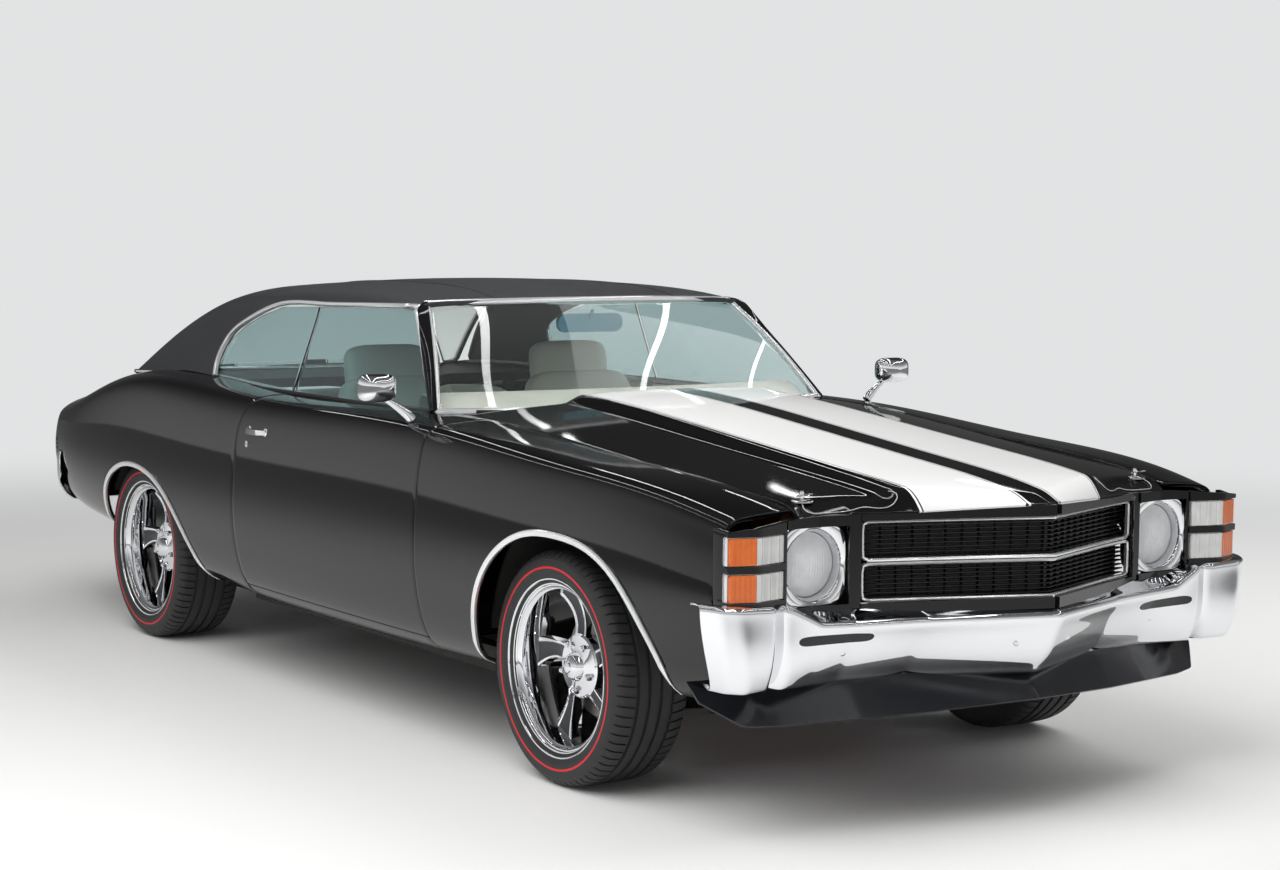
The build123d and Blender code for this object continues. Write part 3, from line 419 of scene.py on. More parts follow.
def circle(radius, count=12, squash=1.0):
    """A round profile as (side, up) pairs."""
    a = np.linspace(0, 2 * np.pi, count, endpoint=False)
    return np.stack([np.cos(a) * radius, np.sin(a) * radius * squash], -1)


def revolve(profile, count, closed=True):
    """A profile of (radius, axial) pairs turned about the Y axis; faces follow the profile's order."""
    prof = np.asarray(profile, float)
    a = np.linspace(0, 2 * np.pi, count, endpoint=False)[:, None]
    p = np.stack([np.cos(a) * prof[:, 0], prof[:, 1] + 0 * a, np.sin(a) * prof[:, 0]], -1)
    return Shape().add(p, grid_faces(count, len(prof), True, closed))


def add_node(tree, kind, settings=(), **inputs):
    """A shader node: its properties set from pairs, each input set to a value or linked from another's socket.
    A key's underlines stand for the spaces of the input's name."""
    made = tree.nodes.new(f"ShaderNode{kind}")
    for key, value in settings:
        setattr(made, key, value)
    for key, value in inputs.items():
        set_input(tree, made, key.replace("_", " "), value)
    return made


def set_input(tree, node, key, value):
    """Sets one input of a node to a value, or links it when the value is a socket."""
    if isinstance(value, bpy.types.NodeSocket):
        tree.links.new(value, node.inputs[key])
    else:
        node.inputs[key].default_value = value


def colour_mix(tree, factor, first, second):
    """The socket of a mix of two colours."""
    return add_node(tree, "Mix", [("data_type", "RGBA")], Factor=factor, A=first, B=second).outputs["Result"]


def colour_ramp(tree, factor, stops, steps=False):
    """The colour socket of a ramp through stops of position and colour, stepped or blended."""
    made = add_node(tree, "ValToRGB", Fac=factor)
    if steps:
        made.color_ramp.interpolation = "CONSTANT"
    while len(made.color_ramp.elements) < len(stops):
        made.color_ramp.elements.new(0.5)
    for element, (position, colour) in zip(made.color_ramp.elements, stops):
        element.position, element.color = position, (*colour, 1)
    return made.outputs["Color"]


def finish(key, colour, second, rough, patch=6.0, metal=0.0, relief=0.0, grain=400.0, cells=False, **sockets):
    """A finish whose colour drifts between two tones and whose roughness drifts between two values, both by
    soft noise, with a fine relief from noise or from cells. Sockets set further values on the shader itself."""
    material = bpy.data.materials.new(key)
    material.use_nodes = True
    tree = material.node_tree
    shader = tree.nodes["Principled BSDF"]
    place = add_node(tree, "TexCoord").outputs["Object"]
    drift = add_node(tree, "TexNoise", Vector=place, Scale=patch, Detail=4).outputs["Fac"]
    set_input(tree, shader, "Base Color", colour_mix(tree, drift, (*colour, 1), (*second, 1)))
    gloss = add_node(tree, "MapRange", Value=drift, To_Min=rough[0], To_Max=rough[1])
    set_input(tree, shader, "Roughness", gloss.outputs["Result"])
    set_input(tree, shader, "Metallic", metal)
    if relief:
        fine = add_node(tree, "TexVoronoi" if cells else "TexNoise", Vector=place, Scale=grain)
        bump = add_node(tree, "Bump", Strength=1.0, Distance=relief,
                        Height=fine.outputs["Distance" if cells else "Fac"])
        set_input(tree, shader, "Normal", bump.outputs["Normal"])
    for socket, value in sockets.items():
        set_input(tree, shader, socket.replace("_", " "), value)
    FINISH[key] = material


def bands_by_uv(key, stops):
    """Adds bands of colour by the piece's first map coordinate to a finish: each stop is a position and a
    colour, or None where the finish's own colour shows."""
    tree = FINISH[key].node_tree
    shader = tree.nodes["Principled BSDF"]
    own = shader.inputs["Base Color"].links[0].from_socket
    uv = add_node(tree, "UVMap", [("uv_map", "UVMap")])
    along = add_node(tree, "SeparateXYZ", Vector=uv.outputs["UV"]).outputs["X"]
    colour = colour_ramp(tree, along, [(at, tone or (0, 0, 0)) for at, tone in stops], steps=True)
    mask = colour_ramp(tree, along, [(at, [float(tone is not None)] * 3) for at, tone in stops], steps=True)
    set_input(tree, shader, "Base Color", colour_mix(tree, mask, own, colour))


def make_finishes(paint, stripe, redline):
    """Every finish of the car. The stripes and the tyre's line are bands across their pieces' own maps."""
    for key in ("body_paint", "stripe_paint"):
        finish(key, paint, [c * 0.85 for c in paint], rough=(0.02, 0.045), patch=3, relief=0.000012, grain=900)
    white, line = tuple(stripe), tuple(paint)
    bands_by_uv("stripe_paint", [(0.0, None), (0.5, white), (0.555, line), (0.59, white)])
    finish("chrome", (0.86, 0.87, 0.89), (0.82, 0.83, 0.85), rough=(0.02, 0.05), patch=4, metal=1.0)
    finish("trim", (0.86, 0.87, 0.88), (0.8, 0.81, 0.82), rough=(0.14, 0.22), patch=8, metal=0.72)
    finish("wheel_face", (0.075, 0.077, 0.08), (0.05, 0.052, 0.055), rough=(0.28, 0.4), patch=9, metal=0.6,
           relief=0.00003, grain=1500)
    finish("vinyl_roof", (0.018, 0.019, 0.021), (0.028, 0.029, 0.032), rough=(0.42, 0.5), patch=5,
           relief=0.0007, grain=420, cells=True)
    finish("cream_vinyl", (0.74, 0.71, 0.64), (0.66, 0.63, 0.56), rough=(0.42, 0.55), patch=5, relief=0.0004,
           grain=600, cells=True)
    finish("dash_plastic", (0.6, 0.58, 0.53), (0.5, 0.48, 0.44), rough=(0.5, 0.62), patch=7, relief=0.0003,
           grain=700, cells=True)
    finish("satin_black", (0.012, 0.012, 0.013), (0.02, 0.02, 0.021), rough=(0.38, 0.5), patch=6, relief=0.0001,
           grain=900)
    # Black of the grille bars; the same finish is painted shade on the sheet behind the grille and on the
    # bumper and marker slots.
    finish("grille_black", (0.006, 0.006, 0.007), (0.012, 0.012, 0.013), rough=(0.25, 0.35), patch=9)
    finish("black_rubber", (0.012, 0.012, 0.012), (0.022, 0.022, 0.022), rough=(0.62, 0.75), patch=12,
           relief=0.0002, grain=700)
    finish("tyre", (0.016, 0.016, 0.016), (0.026, 0.026, 0.027), rough=(0.55, 0.7), patch=14, relief=0.00015,
           grain=800)
    bands_by_uv("tyre", [(0.0, None), (0.452, tuple(redline)), (0.514, None)])
    finish("glass", (0.93, 0.97, 0.95), (0.91, 0.95, 0.93), rough=(0.0, 0.01), patch=2, Transmission_Weight=1.0,
           IOR=1.4)
    finish("side_glass", (0.42, 0.57, 0.58), (0.4, 0.54, 0.55), rough=(0.0, 0.01), patch=2,
           Transmission_Weight=1.0, IOR=1.4)
    finish("mirror_glass", (0.05, 0.2, 0.28), (0.04, 0.17, 0.24), rough=(0.03, 0.06), patch=9, metal=0.7)
    finish("chin_black", (0.006, 0.007, 0.009), (0.01, 0.011, 0.014), rough=(0.14, 0.24), patch=5,
           relief=0.0001, grain=300)
    # Headlamp lens: its near-white colour is painted reflection, standing in for the bright bowl seen through
    # clear glass.
    finish("lamp_glass", (0.98, 0.98, 0.98), (0.7, 0.72, 0.74), rough=(0.04, 0.1), patch=34,
           Transmission_Weight=0.12, IOR=1.45)
    finish("amber_lens", (0.75, 0.16, 0.01), (0.55, 0.09, 0.005), rough=(0.1, 0.2), patch=30, Coat_Weight=1.0)
    finish("red_lens", (0.4, 0.004, 0.004), (0.22, 0.002, 0.002), rough=(0.1, 0.2), patch=30, Coat_Weight=1.0)
    finish("clear_lens", (0.78, 0.78, 0.76), (0.55, 0.55, 0.54), rough=(0.12, 0.22), patch=30, Coat_Weight=1.0)
    finish("iron", (0.05, 0.05, 0.052), (0.09, 0.075, 0.06), rough=(0.5, 0.7), patch=10, metal=0.5,
           relief=0.0006, grain=120)
    finish("steel", (0.32, 0.32, 0.33), (0.2, 0.17, 0.14), rough=(0.35, 0.55), patch=8, metal=0.9,
           relief=0.0002, grain=300)
    finish("underbody", (0.012, 0.012, 0.012), (0.03, 0.027, 0.024), rough=(0.6, 0.8), patch=7, relief=0.0006,
           grain=160)
    finish("engine_paint", (0.35, 0.06, 0.01), (0.25, 0.04, 0.01), rough=(0.4, 0.55), patch=8, relief=0.0004,
           grain=150)
    finish("reflector", (0.85, 0.86, 0.88), (0.6, 0.61, 0.63), rough=(0.08, 0.2), patch=60, metal=1.0)


def leaning(p):
    """Moves points near the rear edge of the door forward as they rise above its lean's foot."""
    p = np.array(p)
    rise = np.clip((p[..., 2] - 830) / 120, 0, 1)
    near = np.clip(1 - np.abs(p[..., 0] - DOOR_REAR_X) / 500, 0, 1)
    p[..., 0] += 32 * rise**2 * (3 - 2 * rise) * near
    return p


def side_grid(x, s_low, s_high=1.0, rows=44):
    """Body side points over columns at x, from the lower to the upper section parameter."""
    x = np.asarray(x, float)
    v = np.linspace(0, 1, rows)[None]
    s_low, s_high = np.broadcast_to(s_low, x.shape), np.broadcast_to(s_high, x.shape)
    s = s_low[:, None] * (1 - v) + s_high[:, None] * v
    return leaning(side_point(np.repeat(x[:, None], rows, 1), s))


def arch_line(points, count=72):
    """The wheel opening's edge as x and z, a smooth line through its points, from the front backwards."""
    line = spline_line(points, count)
    return line if line[0, 0] > line[-1, 0] else line[::-1]


def panel_columns(front_x, rear_x, arch, ends=14):
    """Columns of a panel with a wheel opening: x and lower section parameter, from the front backwards."""
    line = arch_line(arch)
    front = np.linspace(front_x, line[0, 0], ends)[:-1]
    rear = np.linspace(line[-1, 0], rear_x, ends * 2)[1:]
    x = np.concatenate([front, line[:, 0], rear])
    z = np.concatenate([np.zeros(len(front)), line[:, 1], np.zeros(len(rear))])
    s = np.where(z > 0, side_s(x, z), 0.0)
    return x, s


def make_side(side):
    """Fender, door, quarter panel, rocker and arch mouldings of one side."""
    x, s = panel_columns(FENDER_FRONT_X, DOOR_FRONT_X + GAP / 2, FRONT_ARCH)
    fender = panel(side_grid(x, s), depth=12)
    x = np.linspace(DOOR_FRONT_X - GAP / 2, DOOR_REAR_X + GAP / 2, 70)
    outer = side_grid(x, side_s(x, np.full(70, SILL_Z + 2)))
    inner = outer.copy()
    inner[..., 1] = DOOR_INNER_Y
    inner[..., 2] = np.minimum(inner[..., 2], DOOR_TOP_Z)
    door = panel(outer, inner=inner)
    x, s = panel_columns(DOOR_REAR_X - GAP / 2, QUARTER_REAR_X, REAR_ARCH)
    quarter = panel(side_grid(x, s), depth=12)
    x = np.linspace(DOOR_FRONT_X - GAP / 2, DOOR_REAR_X - GAP / 2, 40)
    rocker = panel(side_grid(x, 0.0, side_s(x, np.full(40, SILL_Z - 4)), rows=10), depth=12)
    for shape, name, node, body in ((fender, "fender", f"front_fender_{side}", "body"),
                                    (door, "door", f"door_{side}", f"door_{side}"),
                                    (quarter, "quarter", f"quarter_panel_{side}", "body"),
                                    (rocker, "rocker", None, "body")):
        shape.on_side(side).build(f"{name}_{side}", "body_paint", body=body, slot="body_paint",
                                  replaces=(node,) if node else (), sharp=32)
    for name, arch in (("arch_trim_front", FRONT_ARCH), ("arch_trim_rear", REAR_ARCH)):
        line = arch_line(arch, 90)
        path = side_point(line[:, 0], side_s(line[:, 0], line[:, 1]))
        nose = np.clip(np.minimum(np.arange(90), 89 - np.arange(90)) / 5, 0.25, 1)
        profile = [(-2, -7), (-2, 9), (4, 11), (8, 8), (8, -1), (5, -7)]
        sweep(path + [0, 0.5, 0], profile, up=arch_up(line), scale=nose).on_side(side).build(
            f"{name}_{side}", "trim", slot="chrome", sharp=32)


def arch_up(line):
    """Directions that point away from the wheel, for a moulding along the opening's edge."""
    out = np.column_stack([line[:, 0] - np.mean(line[[0, -1], 0]), np.zeros(len(line)),
                           line[:, 1] - AXLE_Z + 40])
    return out / np.linalg.norm(out, axis=1, keepdims=True)


def hood_front(y):
    """x of the hood's front edge at a distance from the middle: the nose line moved back past lip and gap."""
    table = np.array(NOSE)
    return np.interp(np.abs(y), table[:, 0], table[:, 1]) - 15


def hood_grid(n=150, m=141):
    """The hood: crowned from edge to middle, its centre raised with sloping flanks, its nose rolled."""
    u = np.linspace(0, 1, n)[:, None] ** 1.5
    v = np.linspace(1, -1, m)[None, :]
    x = 2400 - u * 1600 + 0 * v
    for _ in range(4):
        half = curve([(r[0], r[1]) for r in HOOD], x)[..., 0]
        y = v * half
        rear = 838 - (838 - 730) * (y / 690) ** 2
        x = hood_front(y) + (rear - hood_front(y)) * u
    half, edge, middle = np.moveaxis(curve(HOOD, x), -1, 0)
    rise = np.clip((2500 - x) / 190, 0, 1)
    dome = DOME_RISE * rise**2 * (3 - 2 * rise)
    flank = np.clip((DOME_HALF - np.abs(y)) / DOME_FLANK, 0, 1)
    z = edge + (middle - dome - edge) * (1 - (y / half) ** 2) + dome * flank**2 * (3 - 2 * flank)
    back = np.clip(1 - (hood_front(y) - x) / 75, 0, 1)
    lip = np.interp(np.abs(y), (0, 330, 640), (839, 820, 818))
    z = z - (z - lip) * back**2.6
    return np.stack([x, y, z], -1)


def stripe_map(p, front=STRIPE_FRONT):
    """Map coordinates of a striped panel: 0.5 on a stripe's border, 0.01 more for each millimetre inwards."""
    x, y = p[..., 0], np.abs(p[..., 1])
    ease = np.clip((x - 2100) / 337, 0, 1)
    outer = STRIPE_OUTER - 21 * ease
    ahead = (front[0] + front[1] * (y - STRIPE_INNER) - x) * 0.95
    d = np.minimum(np.minimum(y - STRIPE_INNER, outer - y), ahead)
    return np.stack([np.clip(0.5 + d * 0.01, 0.001, 0.999), np.zeros_like(d)], -1)


def make_hood_panel():
    """The hood with its stripes."""
    p = hood_grid()
    shape = panel(p, depth=16, roll=3, uv=stripe_map(p))
    shape.build("hood_panel", "stripe_paint", body="hood", slot="body_paint", replaces=("hood",), sharp=35)


def make_deck():
    """The trunk lid, crowned, rolling down at its tail, with the hood's stripes carried over it."""
    u, v = np.linspace(0, 1, 70)[:, None], np.linspace(1, -1, 101)[None]
    x = -1800 - 500 * u + 0 * v
    for _ in range(3):
        half = curve([(r[0], r[1]) for r in DECK], x)[..., 0]
        y = v * half
        front = -1690 - 90 * (y / 628) ** 2
        x = front + (-2352 - front) * u
    half, edge, middle = np.moveaxis(curve(DECK, x), -1, 0)
    z = edge + (middle - edge) * (1 - (y / half) ** 2)
    roll = np.clip(1 - (x + 2352) / 60, 0, 1)
    z = z - 16 * roll**2.4
    p = np.stack([x, y, z], -1)
    uv = stripe_map(p, front=NO_FRONT)
    panel(p, depth=16, roll=3, uv=uv).build("trunk_panel", "stripe_paint", body="trunk_lid", slot="body_paint",
                                            replaces=("trunk_lid",), sharp=35)


SEAM_AT = 0.86


def roof_point(x, s):
    """A point of the cabin's left half: a B-spline section by foot, waist, shoulder and crest to the middle."""
    x = np.asarray(x, float)
    fy, fz, wy, wz, sy, sz, cy, cz, mz = np.moveaxis(curve(ROOF, x), -1, 0)
    y = np.stack([fy, (2 * fy + wy) / 3, (fy + 2 * wy) / 3, (wy + sy) / 2, sy, sy - 6, cy, 0.62 * cy, 0.3 * cy,
                  0 * cy], -1)
    z = np.stack([fz, (2 * fz + wz) / 3, (fz + 2 * wz) / 3, (wz + sz) / 2, sz, sz + 0.55 * (cz - sz), cz,
                  cz + 0.62 * (mz - cz), mz, mz], -1)
    b = basis(np.asarray(s, float), 10)
    return np.stack([x, (b * y).sum(-1), (b * z).sum(-1)], -1)


def roof_s(x, z):
    """The section parameter at which the cabin's side reaches height z."""
    return reaches(roof_point, x, z, 0.62, 400)


def window_line(count=120):
    """The side window's outer edge, front upper to rear lower corner, as x and section parameter."""
    line = spline_line(WINDOW_TOP, count)
    return np.column_stack([line[:, 0], roof_s(line[:, 0], line[:, 1])])


def make_roof_skin():
    """The vinyl roof with its sail panels: ruled across the cabin surface from the drip rail and belt to the
    middle line and the rear window's edge, and mirrored."""
    window = window_line()
    cut = [0, 58, 84, 104, 119]
    low = [window[a:b + 1] for a, b in zip(cut[:-1], cut[1:])]
    low.append(np.array([(-1006, window[-1, 1]), (-1300, 0.03), (-1740, 0.0)]))
    high = [np.array([(345, 1), (-640, 1)]), np.array([(-640, 1), (-1118, 1)]),
            np.array([(-1118, 1), (-1180, 0.82), (-1236, 0.7)]), np.array([(-1236, 0.7), (-1400, 0.66)]),
            np.array([(-1400, 0.66), (-1700, 0.66)])]
    counts = (34, 18, 16, 14, 30)
    lows = np.vstack([resample(a, n)[:-1] for a, n in zip(low, counts)] + [low[-1][-1:]])
    highs = np.vstack([resample(a, n)[:-1] for a, n in zip(high, counts)] + [high[-1][-1:]])
    p = ruled(roof_point, lows, highs, 60)
    shape = panel(p, depth=14, roll=3)
    shape.mirror().build("vinyl_roof_skin", "vinyl_roof", slot="vinyl_roof", replaces=("roof",), sharp=40)
    line = roof_point(np.linspace(330, -1090, 120), np.full(120, SEAM_AT))
    sweep(line + [0, 0, 0.5], circle(2.4, 8, 0.7)).mirror().build("roof_seams", "vinyl_roof", slot="vinyl_roof")


def nose_x(y):
    """x of the nose's face at a distance from the middle."""
    table = np.array(NOSE)
    return np.interp(np.abs(y), table[:, 0], table[:, 1])


def screen(u, v):
    """The windscreen: straight between a bowed foot and a bowed head, bulging a little forwards and up."""
    foot = np.stack([770 - 158 * v**2, 735 * v, 962 + 4 * v**2], -1)
    head = np.stack([352 - 62 * v**2, 592 * v, 1291 - 9 * v**2], -1)
    bulge = 16 * np.sin(np.pi * u)[..., None] * np.array([0.6, 0, 0.8])
    return foot * (1 - u[..., None]) + head * u[..., None] + bulge


def backlight(u, v):
    """The rear window, from its bowed foot to its bowed head, set in between the sail panels."""
    foot = np.stack([-1645 - 45 * v**2, 640 * v, 954 + 14 * v**2], -1)
    head = np.stack([-1122 - 95 * v**2, 520 * v, 1252 - 8 * v**2], -1)
    bulge = 14 * np.sin(np.pi * u)[..., None] * np.array([-0.5, 0, 0.85])
    return foot * (1 - u[..., None]) + head * u[..., None] + bulge


def end_glass(surface, name, node, turn):
    """A bowed pane with its moulding round it."""
    u, v = np.meshgrid(np.linspace(0.015, 0.985, 30), np.linspace(0.985, -0.985, 50), indexing="ij")
    p = surface(u, v)
    n = grid_normals(p) * (-1 if turn else 1)
    panel(p - n * 4, roll=0.4, inner=p - n * 9).build(name, "glass", slot="tinted_glass", replaces=(node,))
    t = np.linspace(0, 1, 61)
    loop = np.vstack([np.stack([0 * t, 1 - 2 * t], -1)[:-1], np.stack([t, 0 * t - 1], -1)[:-1],
                      np.stack([0 * t + 1, 2 * t - 1], -1)[:-1], np.stack([1 - t, 0 * t + 1], -1)[:-1]])
    path = surface(loop[:, 0], loop[:, 1])
    (u, v), step = loop.T, 0.01
    du = surface(np.clip(u + step, 0, 1), v) - surface(np.clip(u - step, 0, 1), v)
    dv = surface(u, np.clip(v + step, -1, 1)) - surface(u, np.clip(v - step, -1, 1))
    up = np.cross(dv, du)
    up *= np.sign(up[:, 2:])
    up /= np.linalg.norm(up, axis=1, keepdims=True)
    profile = [(-12, -6), (-11, 3), (-4, 7), (6, 6), (12, 1), (12, -6)]
    sweep(path, profile, up=up, closed=True).build(f"{name}_moulding", "trim", slot="chrome", sharp=35)


def window_top(x):
    """Height of the side window's upper and front edge at x."""
    top = np.array([(606, 962), (303, 1274)] + WINDOW_TOP[1:7])[::-1]
    return np.interp(x, top[:, 0], top[:, 1])


def make_side_glass(side):
    """Door glass, quarter glass, windscreen pillar and the bright mouldings round the side window."""
    for name, front, rear, body, node in (
            ("door_pane", 596, DOOR_REAR_X + 38, f"door_{side}", f"door_glass_{side}"),
            ("quarter_pane", DOOR_REAR_X + 24, -1024, "body", "quarter_glass" if side == "left" else None)):
        x = np.linspace(front, rear, 60)
        top = roof_s(x, np.maximum(window_top(x) - 7, 964))
        low = roof_s(x, np.full(60, 953.0))
        p = ruled(roof_point, np.column_stack([x, low]), np.column_stack([x, top]), 24)
        p = p - grid_normals(p) * 13
        panel(p, depth=5, roll=0.4).on_side(side).build(f"{name}_{side}", "side_glass", body=body,
                                                        slot="tinted_glass", replaces=(node,) if node else ())
    u = np.linspace(0, 1, 40)
    x = 606 - 303 * u
    outer = roof_point(x, roof_s(x, 962 + 312 * u))
    inner = screen(u, np.ones(40))
    v = np.linspace(0, 1, 8)[None, :, None]
    p = outer[:, None] * (1 - v) + inner[:, None] * v
    p[..., 1] += 6 * np.sin(np.pi * v[..., 0])
    panel(p[::-1], depth=8, roll=0.8).on_side(side).build(f"windscreen_pillar_{side}", "body_paint",
                                                          slot="body_paint", sharp=40)
    window = window_line(150)
    front = np.column_stack([x, roof_s(x, 962 + 312 * u)])
    line = np.vstack([front[:-1], window])
    path = roof_point(line[:, 0], line[:, 1])
    out = roof_normals(line)
    profile = [(-7, -8), (-7, 3), (-4, 6), (4, 6), (7, 3), (7, -8)]
    sweep(path, profile, up=out).on_side(side).build(f"drip_moulding_{side}", "trim", slot="chrome", sharp=30)
    xs = np.linspace(-1006, -1738, 70)
    foot = np.column_stack([xs, np.full(70, 0.004)])
    path = roof_point(foot[:, 0], foot[:, 1]) + [0, 0, 4]
    profile = [(-6, -3), (-6, 4), (0, 6), (6, 3), (6, -3)]
    sweep(path, profile, up=roof_normals(foot)).on_side(side).build(f"vinyl_foot_moulding_{side}", "chrome",
                                                                    slot="chrome", sharp=30)
    xs = np.linspace(590, -1000, 90)
    path = np.column_stack([xs, np.interp(xs, (-1000, -390, 860), (741, 752, 752)), np.full(90, 961.0)])
    strip = sweep(path, [(-8, -6), (-8, 3), (0, 6), (8, 3), (8, -6)])
    strip.on_side(side).build(f"belt_seal_{side}", "black_rubber", slot="rubber")


def roof_normals(line):
    """Outward directions of the cabin surface at pairs of x and section parameter."""
    x, s = line[:, 0], line[:, 1]
    du = roof_point(x + 4, s) - roof_point(x - 4, s)
    dv = roof_point(x, np.clip(s + 0.01, 0, 1)) - roof_point(x, np.clip(s - 0.01, 0, 1))
    n = np.cross(dv, du)
    return n / np.linalg.norm(n, axis=1, keepdims=True)


def nose_strip(y0, y1, low, high, cols=60, rows=6, setback=0.0):
    """A strip of the nose's face between two distances from the middle and two heights, numbers or tables."""
    y = np.linspace(y1, y0, cols)

    def level(at):
        return np.full(cols, float(at)) if np.isscalar(at) else np.interp(y, *np.array(at, float).T)

    v = np.linspace(0, 1, rows)[None]
    z = level(low)[:, None] * (1 - v) + level(high)[:, None] * v
    x = np.repeat((nose_x(y) - setback)[:, None], rows, 1)
    return np.stack([x, np.repeat(y[:, None], rows, 1), z], -1)


POSTS = (506, 716)
BROW = [(0, 837), (330, 820), (640, 817), (840, 800), (884, 794)]


def make_header_skin():
    """The painted nose: brow, posts between grille, lamps and markers, and the corner to the fender."""
    shape = Shape()
    for y0, y1, low, high in ((0.01, 472, [(0, 810), (472, 802)], BROW), (472, 506, 570, BROW),
                              (506, 708, 792, BROW), (708, 716, 570, BROW), (716, 884, 784, BROW),
                              (506, 708, 570, 590), (716, 884, 600, 617), (716, 884, 693, 709),
                              (0.01, 472, [(0, 570), (472, 560)], [(0, 597), (472, 588)])):
        strip = nose_strip(y0, y1, low, high, cols=24, setback=5 if high is BROW and y1 in POSTS else 0)
        shape.join(panel(strip, depth=22, roll=1))
    t = np.linspace(0, 1, 14)[:, None]
    v = np.linspace(0, 1, 16)[None]
    corner = np.stack([2330 - 44 * t + 0 * v, 884 + 6 * np.sin(np.pi / 2 * t) + 0 * v,
                       606 + (794 - 606) * v + 6 * t], -1)
    shape.join(panel(corner, depth=14, roll=1.5))
    shape.mirror().build("nose_panel", "body_paint", slot="body_paint", replaces=("header_panel",), sharp=35)


def make_grille_bars():
    """Fine bars on uprights behind two bright rounded frames, all following the V of the nose."""
    bars = Shape()
    y = np.array([-462, -330, 0, 330, 462.0])
    for z in np.arange(596, 800, 11.5):
        sag = np.interp(np.abs(y), (0, 462), (0, -8))
        path = np.column_stack([nose_x(y) - 20, y, z + sag])
        sweep(path, [(-9, -1.1), (-9, 1.1), (8, 1.6), (10, 0), (8, -1.6)], shape=bars)
    for at in np.arange(-440, 441, 40):
        x = float(nose_x(at)) - 38
        path = np.array([(x, at, 588), (x, at, 802)], float)
        sweep(path, [(-1.2, -8), (-1.2, 4), (1.2, 4), (1.2, -8)], up=(1, 0, 0), shape=bars)
    # A flat black sheet behind the bars: painted shade standing in for the dark space behind the grille.
    back = nose_strip(-466, 466, [(-466, 584), (0, 598), (466, 584)], [(-466, 790), (0, 806), (466, 790)],
                      cols=81, rows=4, setback=44)
    panel(back, depth=3, roll=0.5, shape=bars)
    bars.build("grille_bars", "grille_black", slot="grille_black", replaces=("grille",))
    surrounds = Shape()
    for low, high in ((600, 695), (704, 804)):
        loop = rounded([(0, low), (468, low - 6), (469, high - 6), (0, high)], 16, 60)[:-1]
        loop = np.vstack([loop, loop[::-1] * [-1, 1]])
        loop = resample(np.vstack([loop, loop[:1]]), 241)[:-1]
        path = np.column_stack([nose_x(loop[:, 0]) + 3, loop])
        sweep(path, [(-4.2, -6), (-4.2, 4), (-1, 6.5), (3, 5), (4.2, -6)], up=(1, 0, 0), closed=True,
              shape=surrounds)
    for edge in (592, 813):
        y = np.linspace(-470, 470, 121)
        path = np.column_stack([nose_x(y) + 3, y, edge - np.abs(y) / 466 * 6])
        sweep(path, [(-4, -8), (-4, 3), (0, 5), (4, 3), (4, -8)], up=(1, 0, 0), shape=surrounds)
    surrounds.build("grille_trims", "trim", slot="chrome", sharp=35)


def rounded_square(half_y, half_z, radius, count=96):
    """A rounded rectangle about the origin as y and z, anticlockwise from its right side."""
    a = np.linspace(0, 2 * np.pi, count, endpoint=False)
    c, s = np.cos(a), np.sin(a)
    power = 2.0 / (2.0 + (half_y - radius) / radius * 1.6)
    return np.column_stack([half_y * np.sign(c) * np.abs(c) ** power, half_z * np.sign(s) * np.abs(s) ** power])


LAMP = (2316, 607, 692)


def make_headlamp_set():
    """Round lamps with ribbed lenses over bright bowls, each in a rounded square bezel."""
    x, y, z = LAMP
    square, ring = rounded_square(101, 105, 40), rounded_square(84, 84, 83.9)
    rows = [(square, 1.0, -34), (square, 1.0, 8), (square, 0.985, 14), (square, 0.95, 16), (ring, 1.13, 13),
            (ring, 1.06, 8), (ring, 1.01, -10), (ring, 0.99, -30)]
    p = np.stack([np.column_stack([np.full(96, x + dx), y + loop[:, 0] * k, z + loop[:, 1] * k])
                  for loop, k, dx in rows])
    bezel = Shape().grid(p, wrap_u=True, wrap_v=True)
    bezel.mirror().build("headlamp_surrounds", "chrome", slot="chrome", replaces=("headlamp_bezels",), sharp=40)
    r, a = np.meshgrid(np.linspace(0, 1, 34), np.linspace(0, 2 * np.pi, 120, endpoint=False), indexing="ij")

    def dome(bulge, back, ribs):
        yy, zz = 83 * r * np.cos(a), 83 * r * np.sin(a)
        ribbed = (r < 0.93) * (np.abs(zz) < 70)
        xx = x + back + bulge * (1 - r**2) + ribs * np.cos(2 * np.pi * yy / 9) * ribbed
        return np.stack([xx, y + yy, z + zz], -1)

    # The lenses are near-white: painted reflection of the bright bowls behind the glass.
    lens = Shape().grid(np.vstack([dome(22, -20, 0.7), dome(18, -25, 0.0)[::-1]]), wrap_v=True)
    lens.mirror().build("headlamp_lenses", "lamp_glass", slot="lamp_glass", replaces=("headlamps",))
    bowl = Shape().grid(np.vstack([dome(-46, -28, 0.0), dome(-46, -34, 0.0)[::-1]]), wrap_v=True)
    bowl.mirror().build("headlamp_bowls", "reflector", slot="lamp_glass")


